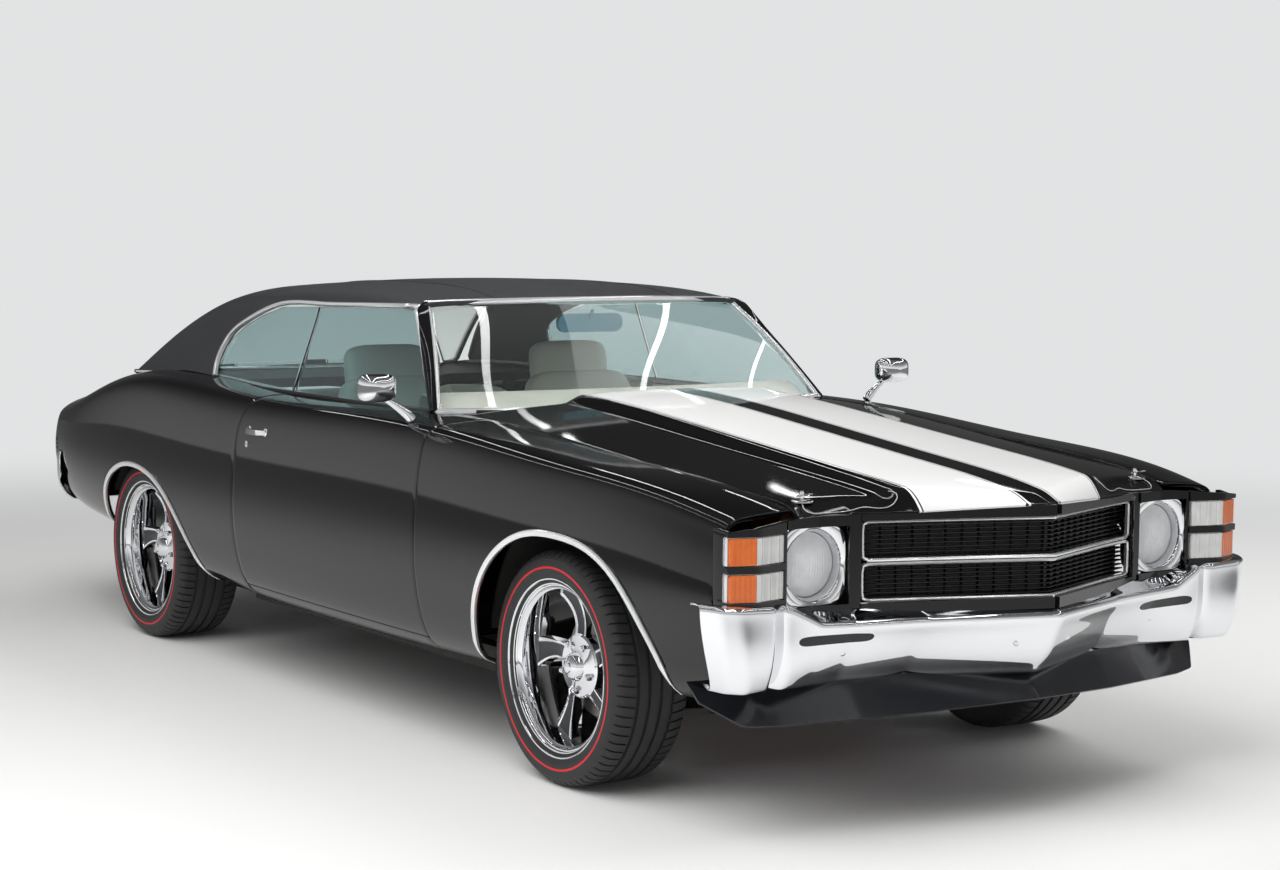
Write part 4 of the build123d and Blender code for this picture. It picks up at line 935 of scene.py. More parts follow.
def make_markers():
    """Stacked corner lamps: an amber outer part and a clear ribbed inner part, each in a thin bright frame."""
    for name, look, y0, y1, pitch, node in (("marker_amber", "amber_lens", 818, 881, 13, ("marker_lamps",)),
                                            ("marker_clear", "clear_lens", 722, 815, 6.5, ())):
        shape = Shape()
        for low, high in ((623, 687), (715, 778)):
            p = nose_strip(y0, y1, low, high, cols=64, rows=12)
            p[..., 0] += 5 + 1.1 * np.cos(2 * np.pi * p[..., 1] / pitch)
            panel(p, depth=16, roll=2.5, shape=shape)
        shape.mirror().build(name, look, slot="lamp_amber", replaces=node)
    surrounds = Shape()
    for low, high in ((620, 690), (712, 781)):
        loop = rounded([(719, low), (884, low), (884, high), (719, high), (719, low)], 3, 161)[:-1]
        path = np.column_stack([nose_x(loop[:, 0]) + 4, loop])
        sweep(path, [(-3.4, -10), (-3.4, 5), (-1, 7.5), (2.4, 7), (3.4, 4), (3.4, -10)], up=(1, 0, 0),
              closed=True, shape=surrounds)
    surrounds.mirror().build("marker_frames", "trim", slot="chrome")


def bumper_grid(cols=240, rows=40):
    """The front bumper: a B-spline section from foot to top, its control points following the table."""
    half = np.linspace(0, BUMPER[-1][0], cols // 2 + 1)
    y = np.concatenate([half[::-1], -half[1:]])
    table = np.array(BUMPER, float)
    fx, mx, tx, fz, mz, tz = [rounded_interp(np.abs(y), table[:, 0], table[:, k]) for k in range(1, 7)]
    side = np.sign(y)
    rise = 20 * np.clip((700 - np.abs(y)) / 60, 0, 1)
    wrap = np.clip((np.abs(y) - 900) / 35, 0, 1)
    outer = np.clip((np.abs(y) - 770) / 170, 0, 1)
    x = np.stack([fx - 34, fx - 16, fx - 2, fx + 6, (fx + mx) / 2 + 6, mx + 2, (mx + tx) / 2, tx - 1, tx + 1,
                  tx - 8, tx - 28, tx - 48], -1)
    z = np.stack([fz + 10, fz + 1, fz, fz + 16, (fz + mz) / 2, mz, (mz + tz) / 2, tz - 12, tz - 1, tz + 5,
                  tz + 7 + rise / 4, tz + 5 + rise], -1)
    b = basis(np.linspace(0, 1, rows), 12)
    z = z @ b.T
    fall = np.clip((606 - z) / 214, 0, 1) ** 1.5
    out = side[:, None] * (np.abs(y) + 4 * wrap)[:, None] - side[:, None] * 42 * fall * outer[:, None]
    return np.stack([x @ b.T, out, z], -1)


def rounded_interp(at, xs, ys, ease=9.0):
    """Straight runs between table points with their corners eased: the mean of a few nearby readings."""
    shifts = np.linspace(-ease, ease, 9)
    return np.mean([np.interp(np.abs(at + d), xs, ys) for d in shifts], axis=0)


BUMPER_SLOT = (470, 690), (500, 523)
BUMPER_BOLTS = ((544, 472), (89, 480), (742, 502))


def make_front_bumper_skin():
    """The chromed front bumper with its slots and bolts."""
    p = bumper_grid()
    panel(p, depth=5, roll=2).build("front_bumper_blade", "chrome", slot="chrome", replaces=("front_bumper",),
                                    sharp=50)
    (y0, y1), (z0, z1) = BUMPER_SLOT
    loop_y, loop_z = np.meshgrid(np.linspace(y1, y0, 40), np.linspace(-1, 1, 9), indexing="ij")
    squeeze = np.sqrt(np.clip(1 - ((loop_y - (y0 + y1) / 2) / ((y1 - y0) / 2 + 1)) ** 10, 0, 1))
    z = (z0 + z1) / 2 + loop_z * (z1 - z0) / 2 * squeeze
    # The slots are flat black patches on the chrome face: painted shade standing in for the openings.
    slot, bolts = panel(np.stack([bumper_face(loop_y, z) + 1.5, loop_y, z], -1), depth=3, roll=0.5), Shape()
    slot.mirror().build("bumper_slots", "grille_black", slot="grille_black")
    dome = [(0, 5.5), (6, 5), (10, 2.5), (11, -3), (0, -3)]
    for y, z in BUMPER_BOLTS:
        cap = revolve(dome, 20, closed=False)
        turn = np.array([(0, 1, 0), (1, 0, 0), (0, 0, 1)])
        bolts.join(cap.turned(turn, (float(bumper_face(np.array(float(y)), np.array(float(z)))), y, z)))
    bolts.mirror().build("bumper_bolts", "chrome", slot="chrome")


def bumper_face(y, z):
    """x of the bumper's face at a distance from the middle and a height."""
    table = np.array(BUMPER, float)
    fx, mx, tx, fz, mz, tz = [rounded_interp(np.abs(y), table[:, 0], table[:, k]) for k in range(1, 7)]
    low = fx + (mx - fx) * (z - fz) / (mz - fz)
    high = mx + (tx - mx) * (z - mz) / (tz - mz)
    return np.where(z < mz, low, high) + 3


def make_chin_blade():
    """The chin spoiler: straight between a forward lip and a higher edge tucked behind the bumper."""
    table = np.array(CHIN, float)
    y = np.linspace(870, -870, 181)
    v = np.linspace(0, 1, 9)[None, :, None]
    lip = np.column_stack([np.interp(np.abs(y), table[:, 0], table[:, 1]), y,
                           np.interp(np.abs(y), table[:, 0], table[:, 2])])
    top = lip + [-74, 0, 0]
    top[:, 1] *= 0.985
    top[:, 2] = 392
    p = lip[:, None] * (1 - v) + top[:, None] * v
    panel(p, depth=7, roll=2).build("chin_blade", "chin_black", slot="chin_black", replaces=("chin_spoiler",),
                                    sharp=40)


def wheel_place(x, side):
    """Turn and place of a wheel made about the Y axis with its face towards +Y."""
    sign = 1 if side == "left" else -1
    return np.diag([1.0, sign, 1.0]), (x, sign * HALF_TRACK, AXLE_Z)


def spoke(angle):
    """One wheel spoke: a section with raised edges and a dark sunk face along a curved, dished line."""
    r = np.linspace(46, 219, 34)[:, None]
    t = (r - 46) / 173
    bend = np.radians(angle + 17 * t**1.3)
    half = 30 - 9 * np.sin(np.pi * t) + 20 * t**3
    face = 41 - 19 * np.sin(np.pi * np.clip(t, 0, 1)) + 2 * t
    across = np.array([(-1, -40), (-1, -5), (-0.96, -0.6), (-0.9, 0), (-0.74, 0), (-0.66, -3.2), (-0.3, -5.4),
                       (0.3, -5.4), (0.66, -3.2), (0.74, 0), (0.9, 0), (0.96, -0.6), (1, -5), (1, -40)])
    w, drop = across[:, 0][None], across[:, 1][None]
    depth = face + drop * np.where(drop < -20, 0.85, 1) + 3.5 * w * np.sin(np.pi * t)
    cos, sin = np.cos(bend), np.sin(bend)
    p = np.stack([r * cos - half * w * sin, depth, r * sin + half * w * cos], -1)
    p = np.concatenate([p.mean(axis=1, keepdims=True)[:1].repeat(14, 1), p,
                        p.mean(axis=1, keepdims=True)[-1:].repeat(14, 1)])
    shape = Shape().grid(p, wrap_v=True)
    column = np.tile(np.arange(14), len(p) - 1)
    shape.picks = np.where((column >= 5) & (column <= 7), 1, 0).tolist()
    return shape


def make_wheel(x, side, end):
    """A five-spoke wheel: stepped bright rim, curved spokes, cone cap and nuts, with brake disc behind."""
    matrix, place = wheel_place(x, side)
    rim = revolve([(231.5, 104), (249, 109), (250, 113), (248, 115), (244.5, 114), (242, 108), (238, 104.5),
                   (234.5, 104), (233, 101), (229.5, 97), (226.5, 96.5), (225, 93), (220.5, 88), (217, 86),
                   (214, 74), (211, 40), (209, 0), (213, -98), (228, -112), (249, -114), (250, -110),
                   (231.5, -104)], 128)
    hub = revolve([(0, 79), (9, 78.6), (15, 76), (17, 72), (30, 66), (34, 62), (42, 46), (50, 43), (84, 37),
                   (90, 32), (91, 10), (91, -26), (0, -26)], 72, closed=False)
    wheel = Shape().join(rim).join(hub)
    for k in range(SPOKES):
        wheel.join(spoke(18 + 360 / SPOKES * k))
    nut = revolve([(0, 57), (5, 56.5), (9, 52), (10.4, 47), (10.4, 30), (0, 30)], 6, closed=False)
    for k in range(SPOKES):
        a = np.radians(54 + 360 / SPOKES * k)
        wheel.join(nut.turned(np.eye(3), (NUT_CIRCLE * np.cos(a), 0, NUT_CIRCLE * np.sin(a))))
    wheel.turned(matrix, place).build(f"wheel_{end}_{side}", ["chrome", "wheel_face"],
                                      body=f"wheel_{end}_{side}", slot="chrome",
                                      replaces=(f"rim_{end}_{side}",), sharp=28)
    disc = revolve([(84, -27), (149, -27), (150, -28), (150, -37), (149, -38), (84, -38)], 96)
    drum = revolve([(0, -27), (83, -27), (83, -60), (0, -60)], 48, closed=False)
    disc.join(drum).turned(matrix, place).build(f"brake_disc_{end}_{side}", "steel", body=f"wheel_{end}_{side}",
                                                slot="chrome", sharp=30)


def make_tyre(x, side, end):
    """A tyre: rounded sidewall with fine rings and a red line, four grooves and slots between blocks."""
    matrix, place = wheel_place(x, side)
    wall = [(232, 100), (236, 107), (244, 112), (254, 116.5), (262, 119), (263, 120), (270, 121), (277, 121.8),
            (278, 122), (281, 122), (282, 121.8), (292, 121), (300, 119), (301, 119.6), (306, 117.5),
            (311, 114), (316, 110.5)]
    tread = [(320, 105), (323.5, 99), (325.5, 90), (326.5, 78)]
    groove = []
    for at in (56, 19):
        groove += [(327.3, at + 6), (320, at + 4.5), (320, at - 4.5), (327.6, at - 6)]
    half = wall + tread + groove
    profile = np.array(half + [(r, -y) for r, y in half[::-1]] + [(232, 0)], float)
    steps = np.array([0.0, 3.9, 4.05, 4.85])
    angles = np.radians((np.arange(BLOCKS)[:, None] * 360 / BLOCKS + steps).ravel())
    slot = np.tile([0, 0, 1, 1], BLOCKS)[:, None]
    rows = np.arange(len(profile))
    shoulder = ((rows >= 15) & (rows <= 21)) | ((rows >= len(profile) - 23) & (rows <= len(profile) - 17))
    deep = np.clip((profile[:, 0][None] - 309) / 9, 0, 1)
    r = profile[:, 0][None] - SLOT_DEPTH * slot * shoulder[None] * deep
    skew = np.radians(1.3) * np.clip((np.abs(profile[:, 1][None]) - 60) / 50, 0, 1)
    a = angles[:, None] + skew
    p = np.stack([r * np.cos(a), np.broadcast_to(profile[:, 1][None], r.shape), r * np.sin(a)], -1)
    u = np.where(profile[:, 1] > 0, (profile[:, 0] - 232) / 96, 1)
    uv = np.stack([np.broadcast_to(u[None], r.shape), 0 * r], -1)
    shape = Shape().grid(p, wrap_u=True, wrap_v=True, uv=uv)
    shape.turned(matrix, place).build(f"tyre_{end}_{side}_rubber", "tyre", body=f"wheel_{end}_{side}",
                                      slot="tyre", replaces=(f"tyre_{end}_{side}",), sharp=30)


def cushion(centre, half, tilt=0.0, power=0.32, pleats=0.0, pitch=62.0, rows=72, cols=96):
    """A crowned closed pad: an ellipsoid whose cosines are raised to a small power, tilted about Y, with sewn
    channels sunk across its face."""
    a = np.linspace(-np.pi / 2, np.pi / 2, rows)[:, None]
    b = np.linspace(0, 2 * np.pi, cols, endpoint=False)[None]

    def soft(value, k):
        return np.sign(value) * np.abs(value) ** k

    x = half[0] * soft(np.cos(a), power) * soft(np.cos(b), power)
    y = half[1] * soft(np.cos(a), power) * soft(np.sin(b), power)
    z = half[2] * soft(np.sin(a), power * 1.6) + 0 * b
    crown = (1 - (x / half[0]) ** 2 * 0.5) * (1 - (y / half[1]) ** 2 * 0.5)
    z = z * (0.72 + 0.28 * crown)
    inside = (np.abs(x) < half[0] * 0.8) & (np.abs(y) < half[1] * 0.74) & (z > 0)
    z = z - inside * pleats * np.exp(-(((y / pitch + 0.5) % 1 - 0.5) * pitch / 5) ** 2)
    c, s = np.cos(np.radians(tilt)), np.sin(np.radians(tilt))
    p = np.stack([x * c + z * s, y, -x * s + z * c], -1) + np.array(centre, float)
    return Shape().grid(p, wrap_v=True)


def make_seats():
    """Front bucket seats with headrests, and the rear bench, as sewn vinyl pads on dark bases."""
    for sign, side in ((1, "left"), (-1, "right")):
        y = sign * SEAT_Y
        pads = {"seat_cushion": cushion((90, y, 505), (225, 220, 62), tilt=-3, pleats=5),
                "seat_back": cushion((-285, y, 760), (250, 218, 58), tilt=-103, pleats=5),
                "head_rest": cushion((-392, y, 1028), (84, 158, 50), tilt=-98, power=0.45)}
        for name, pad in pads.items():
            obj = pad.build(f"{name}_{side}", "cream_vinyl", slot="cream_vinyl",
                            replaces=("front_seats",) if name == "seat_cushion" and side == "left" else ())
        base = cushion((60, y, 380), (205, 186, 66), power=0.15)
        sweep([(-396, y, 985), (-404, y, 1070)], circle(9), up=(1, 0, 0), shape=base)
        base.build(f"seat_base_{side}", "satin_black", slot="chin_black", sharp=40)
    for name, node, centre, half, tilt in (("bench_cushion", ("rear_seat",), (-800, 0, 512), (190, 545, 52),
                                            -6), ("bench_back", (), (-1058, 0, 735), (180, 548, 46), -104)):
        pad = cushion(centre, half, tilt=tilt, pleats=4)
        obj = pad.build(name, "cream_vinyl", slot="cream_vinyl", replaces=node)


def make_mirror_head(side):
    """A bullet door mirror: a pointed ellipsoid on a tapering stalk."""
    a = np.linspace(0, np.pi, 40)[:, None]
    b = np.linspace(0, 2 * np.pi, 56, endpoint=False)[None]
    square = (np.abs(np.cos(b)) ** 4 + np.abs(np.sin(b)) ** 4) ** -0.25
    out = np.sin(a) ** 0.7 * square
    shell = np.stack([696 + 46 * np.cos(a) + 0 * b, 985 + 60 * out * np.cos(b), 1050 + 42 * out * np.sin(b)],
                     -1)
    shell[..., 0] = np.maximum(shell[..., 0], 664)
    shape = Shape().grid(shell, wrap_v=True)
    t = np.linspace(0, 1, 12)
    path = np.column_stack([704 - 10 * t, 872 + 80 * t, 952 + 62 * t**0.8])
    sweep(path, circle(13, 16, 0.8), up=(1, 0, 0), scale=1.25 - 0.6 * t, shape=shape)
    shape.on_side(side).build(f"door_mirror_shell_{side}", "chrome", body=f"door_{side}", slot="chrome",
                              replaces=(f"door_mirror_{side}",), sharp=50)


def make_handles(side):
    """A pull handle on two feet and a key lock under it, on the door's shoulder."""
    t = np.linspace(0, 1, 40)
    x = -168 - 142 * t
    s = side_s(x, np.full(40, 846.0))
    base = leaning(side_point(x, s))
    lift = 24 * np.sin(np.pi * np.clip(t, 0, 1)) ** 0.45
    profile = [(-8, -4), (-9, 0), (-8, 4), (8, 5), (9, 0), (8, -4)]
    shape = sweep(base + np.column_stack([0 * t, lift - 2, 0 * t]), profile, up=(0, 1, 0),
                  scale=0.9 + 0.25 * np.sin(np.pi * t))
    for at in (0.06, 0.94):
        foot = np.array([base[int(at * 39)] + [0, d, 0] for d in (-3, 2, 5)])
        sweep(foot, circle(13, 20), up=(0, 0, 1), scale=[1.15, 1.05, 0.8], shape=shape)
    lock = leaning(side_point(np.array([-300.0]), side_s(np.array([-300.0]), np.array([800.0]))))[0]
    sweep([lock + [0, -2, 0], lock + [0, 3, 0], lock + [0, 4, 0]], circle(11, 24), up=(0, 0, 1),
          scale=[1, 1, 0.8], shape=shape)
    shape.on_side(side).build(f"door_handle_{side}", "chrome", body=f"door_{side}", slot="chrome", sharp=40)


def make_rear_bumper_skin():
    """The chromed rear bumper, its ends tapering up round the tail, with round red lamps in bright rings."""
    table = np.array(REAR_BUMPER, float)
    y = np.concatenate([-np.linspace(856, 0, 80), np.linspace(0, 856, 80)[1:]])
    x = np.interp(np.abs(y), table[:, 0], table[:, 1])
    tip = np.clip((np.abs(y) - 740) / 116, 0, 1)
    low, v = 402 + 120 * tip**1.5, np.linspace(0, 1, 26)[None]
    z = low[:, None] * (1 - v) + 608 * v
    out = 26 * (np.abs(2 * v - 1) ** 3) * (1 - 0.6 * tip[:, None])
    p = np.stack([x[:, None] + out, np.repeat(y[:, None], 26, 1), z], -1)
    panel(p, depth=6, roll=1.5).build("rear_bumper_blade", "chrome", slot="chrome", replaces=("rear_bumper",),
                                      sharp=45)
    lens = revolve([(0, 10), (20, 9.6), (40, 8), (52, 5), (57, 1), (57, -8), (0, -8)], 48, closed=False)
    ring = revolve([(57.5, -8), (57.5, 3), (60, 6), (64, 5), (66, 0), (66, -8)], 48)
    lamps, rings = Shape(), Shape()
    turn = np.array([(0, -1, 0), (1, 0, 0), (0, 0, 1)])
    for y in TAIL_LAMP_Y:
        place = (float(np.interp(y, table[:, 0], table[:, 1])), y, TAIL_LAMP_Z)
        lamps.join(lens.turned(turn, place))
        rings.join(ring.turned(turn, place))
    lamps.mirror().build("tail_lamp_lenses", "red_lens", slot="lamp_red", replaces=("tail_lamps",))
    rings.mirror().build("tail_lamp_rings", "chrome", slot="chrome", sharp=35)


def make_side_louvres(side):
    """Slots of the rear side marker, stacked along the tail's slope."""
    slots = Shape()
    for z in np.linspace(*LOUVRE_Z, LOUVRES):
        lean = LOUVRE_X - 0.42 * (z - LOUVRE_Z[0])
        x, v = np.linspace(lean + 16, lean - 16, 8), np.linspace(z - 5, z + 5, 4)
        x, v = np.repeat(x[:, None], 4, 1), np.repeat(v[None], 8, 0)
        # Each slot is a flat black patch on the side: painted shade standing in for the opening.
        panel(side_point(x, side_s(x, v)) + [0, 1.2, 0], depth=2.5, roll=0.6, shape=slots)
    slots.on_side(side).build(f"side_louvres_{side}", "grille_black", slot="grille_black")


def hood_height(x, y, lift=2.0):
    """Points on the hood nearest to the given places, lifted a little."""
    p = hood_grid().reshape(-1, 3)
    nearest = ((p[:, 0] - x[:, None]) ** 2 + (p[:, 1] - y[:, None]) ** 2).argmin(1)
    return np.column_stack([x, y, p[nearest, 2] + lift])


def make_hood_pins():
    """Two hood pins: an oval plate, a stem and a sprung clip, each with a wire to the hood's front edge."""
    pins, wires = Shape(), Shape()
    base = hood_height(np.array([2248.0]), np.array([588.0]), 0)[0]
    plate = revolve([(0, 3), (24, 2.4), (30, 0), (30, -4), (0, -4)], 40, closed=False)
    stem = revolve([(0, 26), (4, 25), (5.5, 20), (5.5, -2), (0, -2)], 20, closed=False)
    up = np.array([(1, 0, 0), (0, 0, -1), (0, 1, 0)])
    pins.join(plate.turned(up, base)).join(stem.turned(up, base))
    a = np.linspace(0, 2 * np.pi, 33)[:-1]
    clip = base + np.column_stack([28 * np.cos(a) + 12, 11 * np.sin(a), 15 + 5 * np.cos(a)])
    sweep(clip, circle(2.2, 8), closed=True, shape=pins)
    pins.mirror().build("hood_pins", "chrome", body="hood", slot="chrome", sharp=40)
    run = spline_line([(2262, 596), (2290, 612), (2308, 590), (2318, 520), (2330, 440), (2352, 392),
                       (2346, 352), (2318, 362)], 60)
    path = hood_height(run[:, 0], run[:, 1])
    for _ in range(3):
        path[1:-1] = (path[:-2] + path[1:-1] + path[2:]) / 3
    sweep(path + [0, 0, 1.5], circle(1.6, 8), shape=wires)
    wires.mirror().build("hood_pin_wires", "trim", body="hood", slot="chrome")


def make_dash_top():
    """The pale padded top of the dashboard under the windscreen's foot."""
    v, u = np.linspace(1, -1, 61)[:, None], np.linspace(0, 1, 20)[None]
    x = (738 - 150 * v**2) * (1 - u) + (470 - 40 * v**2) * u
    drop = 70 * np.clip((u - 0.8) / 0.2, 0, 1) ** 2
    z = 957 + 52 * np.sin(np.pi / 2 * np.clip(u / 0.8, 0, 1)) - drop + 0 * v
    p = np.stack([x, 700 * v + 0 * u, z], -1)
    panel(p[::-1], depth=8, roll=2).build("dash_top", "dash_plastic", slot="cream_vinyl")


def make_trim_panels(side):
    """Cream trim panels inside the door and beside the rear seat."""
    for name, x0, x1, low, body in (("door_trim", 800, -350, 430, f"door_{side}"),
                                    ("quarter_trim", -400, -985, 560, "body")):
        u, v = np.linspace(x0, x1, 60)[:, None], np.linspace(low, 944, 24)[None]
        swell = 5 * np.exp(-((v - 720) / 26) ** 2) + 3 * np.exp(-((v - 860) / 12) ** 2)
        p = np.stack([u + 0 * v, 712 - swell + 0 * u, v + 0 * u], -1)
        panel(p[::-1], depth=6, roll=2).on_side(side).build(f"{name}_{side}", "cream_vinyl", body=body,
                                                            slot="cream_vinyl")


CARRIED = {
    "underbody": ("floor_pan", "rear_floor", "parcel_shelf", "frame_rails", "cross_members", "wheelhouses",
                  "fuel_tank"),
    "iron": ("rear_axle", "control_arms", "knuckle_left", "knuckle_right"),
    "engine_paint": ("engine_block",),
    "satin_black": ("radiator", "steering_wheel", "steering_column", "wiper_arms"),
    "steel": ("exhaust",),
    "dash_plastic": ("dashboard",),
    "mirror_glass": ("rear_view_mirror",),
    "body_paint": ("cowl_panel", "deck_filler_panel", "tail_panel"),
}


def dress_carried():
    """Finishes for the nodes whose own shape stays."""
    for look, nodes in CARRIED.items():
        for node in nodes:
            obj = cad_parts[node]
            if not obj.material_slots:
                obj.data.materials.append(None)
            for place in obj.material_slots:
                place.material = FINISH[look]


CAMERA_AT = (7242.5, -4438.6, 1572.4)
YAW, PITCH, ROLL = 2.54568576, -0.09722834, 0.00970859
FOCAL_PX, CENTRE_PX = 2489.06, (651.48, 456.21)
FRAME_W, FRAME_H = 1280.0, 870.0


def make_camera():
    """The camera at the photograph's angle: aimed by yaw, pitch and roll, shifted a little for its framing."""
    ahead = np.array([np.cos(YAW) * np.cos(PITCH), np.sin(YAW) * np.cos(PITCH), np.sin(PITCH)])
    right = np.cross(ahead, (0, 0, 1))
    right /= np.linalg.norm(right)
    up = np.cross(right, ahead)
    right, up = np.cos(ROLL) * right + np.sin(ROLL) * up, -np.sin(ROLL) * right + np.cos(ROLL) * up
    data = bpy.data.cameras.new("camera")
    data.sensor_width = 36
    data.lens = FOCAL_PX / FRAME_W * 36
    data.shift_x = (FRAME_W / 2 - CENTRE_PX[0]) / FRAME_W
    data.shift_y = (CENTRE_PX[1] - FRAME_H / 2) / FRAME_W
    data.clip_end = 200
    obj = bpy.data.objects.new("camera", data)
    bpy.context.scene.collection.objects.link(obj)
    matrix = np.eye(4)
    matrix[:3, 0], matrix[:3, 1], matrix[:3, 2] = right, up, -ahead
    matrix[:3, 3] = (np.array(CAMERA_AT) + [SHIFT, 0, 0]) / 1000
    obj.matrix_world = Matrix(matrix.tolist())
    bpy.context.scene.camera = obj


# Large lamps that are not mirrored: name, place, aim and power; and five long tubes that are, side by side
LAMPS = (("key_light", (2.0, -4.0, 5.0), (0.3, 0, 0.4), 420),
         ("fill_light", (1.5, 4.5, 5.0), (0, 0, 0.4), 260))
LAMP_SIZE = (6.0, 6.0)
TUBE_RUN, TUBE_PITCH, TUBE_MIDDLE = (0.897, -0.442, 0.0), 1.572, (0.32, 0.43, 4.2)
TUBE_SIZE, TUBE_POWER = (0.07, 14.0), 26


def soft_light(name, at, aim, size, power, glossy=True, along=(0, 0, 1)):
    """A large area light aimed at a point; without gloss it lights surfaces but isn't mirrored in them."""
    data = bpy.data.lights.new(name, "AREA")
    data.shape = "RECTANGLE"
    data.size, data.size_y = size
    data.energy = power
    obj = bpy.data.objects.new(name, data)
    bpy.context.scene.collection.objects.link(obj)
    ahead = np.array(aim, float) - np.array(at, float)
    ahead /= np.linalg.norm(ahead)
    side = np.cross(ahead, along)
    side /= np.linalg.norm(side)
    matrix = np.eye(4)
    matrix[:3, 0], matrix[:3, 1], matrix[:3, 2], matrix[:3, 3] = side, np.cross(side, ahead), -ahead, at
    obj.matrix_world = Matrix(matrix.tolist())
    obj.visible_glossy = glossy
    obj.visible_camera = False


def make_lights():
    """The large lamps, and the tubes overhead whose lines show in the windscreen."""
    for name, at, aim, power in LAMPS:
        soft_light(name, at, aim, LAMP_SIZE, power, glossy=False)
    across = np.array((-TUBE_RUN[1], TUBE_RUN[0], 0))
    for k in range(5):
        at = np.array(TUBE_MIDDLE) + (k - 2) * TUBE_PITCH * across
        soft_light(f"tube_light_{k}", at, at * [1, 1, 0], TUBE_SIZE, TUBE_POWER, along=TUBE_RUN)


# The room round the car: direction of its dark wall, tones by height below the ceiling, the floor in metres
FAR_WALL = (-0.82, 0.57, 0.0)
WALL_TONES = ((0.0, 0.9), (0.12, 0.75), (0.3, 0.42), (0.55, 0.2))
FLOOR_REACH, FLOOR_FADE = 60.0, (2.6, 9.0)


def seen_directly(tree):
    """1 for rays of the camera and for those that passed through glass."""
    path = add_node(tree, "LightPath")
    made = add_node(tree, "Math", [("operation", "MAXIMUM")])
    tree.links.new(path.outputs["Is Camera Ray"], made.inputs[0])
    tree.links.new(path.outputs["Is Transmission Ray"], made.inputs[1])
    return made.outputs["Value"]


def shader_mix(tree, factor, first, second):
    """The socket of a mix of two shaders."""
    made = add_node(tree, "MixShader", Fac=factor)
    tree.links.new(first, made.inputs[1])
    tree.links.new(second, made.inputs[2])
    return made.outputs["Shader"]


def make_world(sky, ceiling):
    """Pale all round for camera rays; for light and reflections pale at the horizon, dim overhead and dark on
    the far side of the car, so that the hood mirrors a dark room."""
    world = bpy.data.worlds.new("studio")
    bpy.context.scene.world = world
    world.use_nodes = True
    tree = world.node_tree
    tree.nodes.clear()
    place = add_node(tree, "TexCoord").outputs["Generated"]
    height = add_node(tree, "SeparateXYZ", Vector=place).outputs["Z"]
    tones = [(at, (tone, tone, tone * 1.01)) for at, tone in WALL_TONES + ((1.0, ceiling),)]
    toward = add_node(tree, "VectorMath", [("operation", "DOT_PRODUCT")])
    toward.inputs[1].default_value = FAR_WALL
    tree.links.new(place, toward.inputs[0])
    shade = add_node(tree, "MapRange", [("interpolation_type", "SMOOTHSTEP")], Value=toward.outputs["Value"],
                     From_Min=0.3, From_Max=0.85, To_Min=1.0, To_Max=0.1)
    around = add_node(tree, "Background", Color=colour_ramp(tree, height, tones),
                      Strength=shade.outputs["Result"])
    behind = add_node(tree, "Background", Color=(*sky, 1))
    add_node(tree, "OutputWorld", Surface=shader_mix(tree, seen_directly(tree), around.outputs["Background"],
                                                     behind.outputs["Background"]))


def make_floor(tone, sky):
    """A wide pale floor that fades into the background's tone with distance for camera rays."""
    mesh = bpy.data.meshes.new("studio_floor")
    mesh.from_pydata([(x * FLOOR_REACH, y * FLOOR_REACH, 0) for x, y in ((-1, -1), (1, -1), (1, 1), (-1, 1))],
                     [], [(0, 1, 2, 3)])
    obj = bpy.data.objects.new("studio_floor", mesh)
    bpy.context.scene.collection.objects.link(obj)
    finish("floor", tone, [c * 0.985 for c in tone], rough=(0.42, 0.5), patch=0.6, Specular_IOR_Level=0.3)
    tree = FINISH["floor"].node_tree
    length = add_node(tree, "VectorMath", [("operation", "LENGTH")])
    tree.links.new(add_node(tree, "TexCoord").outputs["Object"], length.inputs[0])
    far = add_node(tree, "MapRange", [("interpolation_type", "SMOOTHERSTEP")], Value=length.outputs["Value"],
                   From_Min=FLOOR_FADE[0], From_Max=FLOOR_FADE[1])
    both = add_node(tree, "Math", [("operation", "MULTIPLY")])
    tree.links.new(far.outputs["Result"], both.inputs[0])
    tree.links.new(seen_directly(tree), both.inputs[1])
    glow = add_node(tree, "Emission", Color=(*sky, 1))
    tree.links.new(shader_mix(tree, both.outputs["Value"], tree.nodes["Principled BSDF"].outputs["BSDF"],
                              glow.outputs["Emission"]), tree.nodes["Material Output"].inputs["Surface"])
    mesh.materials.append(FINISH["floor"])


SIDES = ("left", "right")


class CarPaint(bpy.types.PropertyGroup):
    """Colours that a user would change."""
    paint: bpy.props.FloatVectorProperty(name="Paint", description="Body colour", subtype="COLOR", size=3,
                                         default=(0.0045, 0.0045, 0.005), min=0, max=1)
    stripe: bpy.props.FloatVectorProperty(name="Stripe", description="Colour of the hood stripes",
                                          subtype="COLOR", size=3, default=(0.86, 0.86, 0.85), min=0, max=1)
    redline: bpy.props.FloatVectorProperty(name="Tyre line", description="Colour of the line on the tyres",
                                           subtype="COLOR", size=3, default=(0.56, 0.012, 0.02), min=0, max=1)


class CarStage(bpy.types.PropertyGroup):
    """Tones of the studio."""
    sky: bpy.props.FloatVectorProperty(name="Background", description="Tone behind the car", subtype="COLOR",
                                       size=3, default=(0.76, 0.77, 0.775), min=0, max=1)
    floor: bpy.props.FloatVectorProperty(name="Floor", description="Tone of the floor", subtype="COLOR", size=3,
                                         default=(0.82, 0.82, 0.81), min=0, max=1)
    ceiling: bpy.props.FloatProperty(name="Ceiling",
                                     description="Brightness of the dark ceiling in reflections", default=0.1,
                                     min=0, max=2)


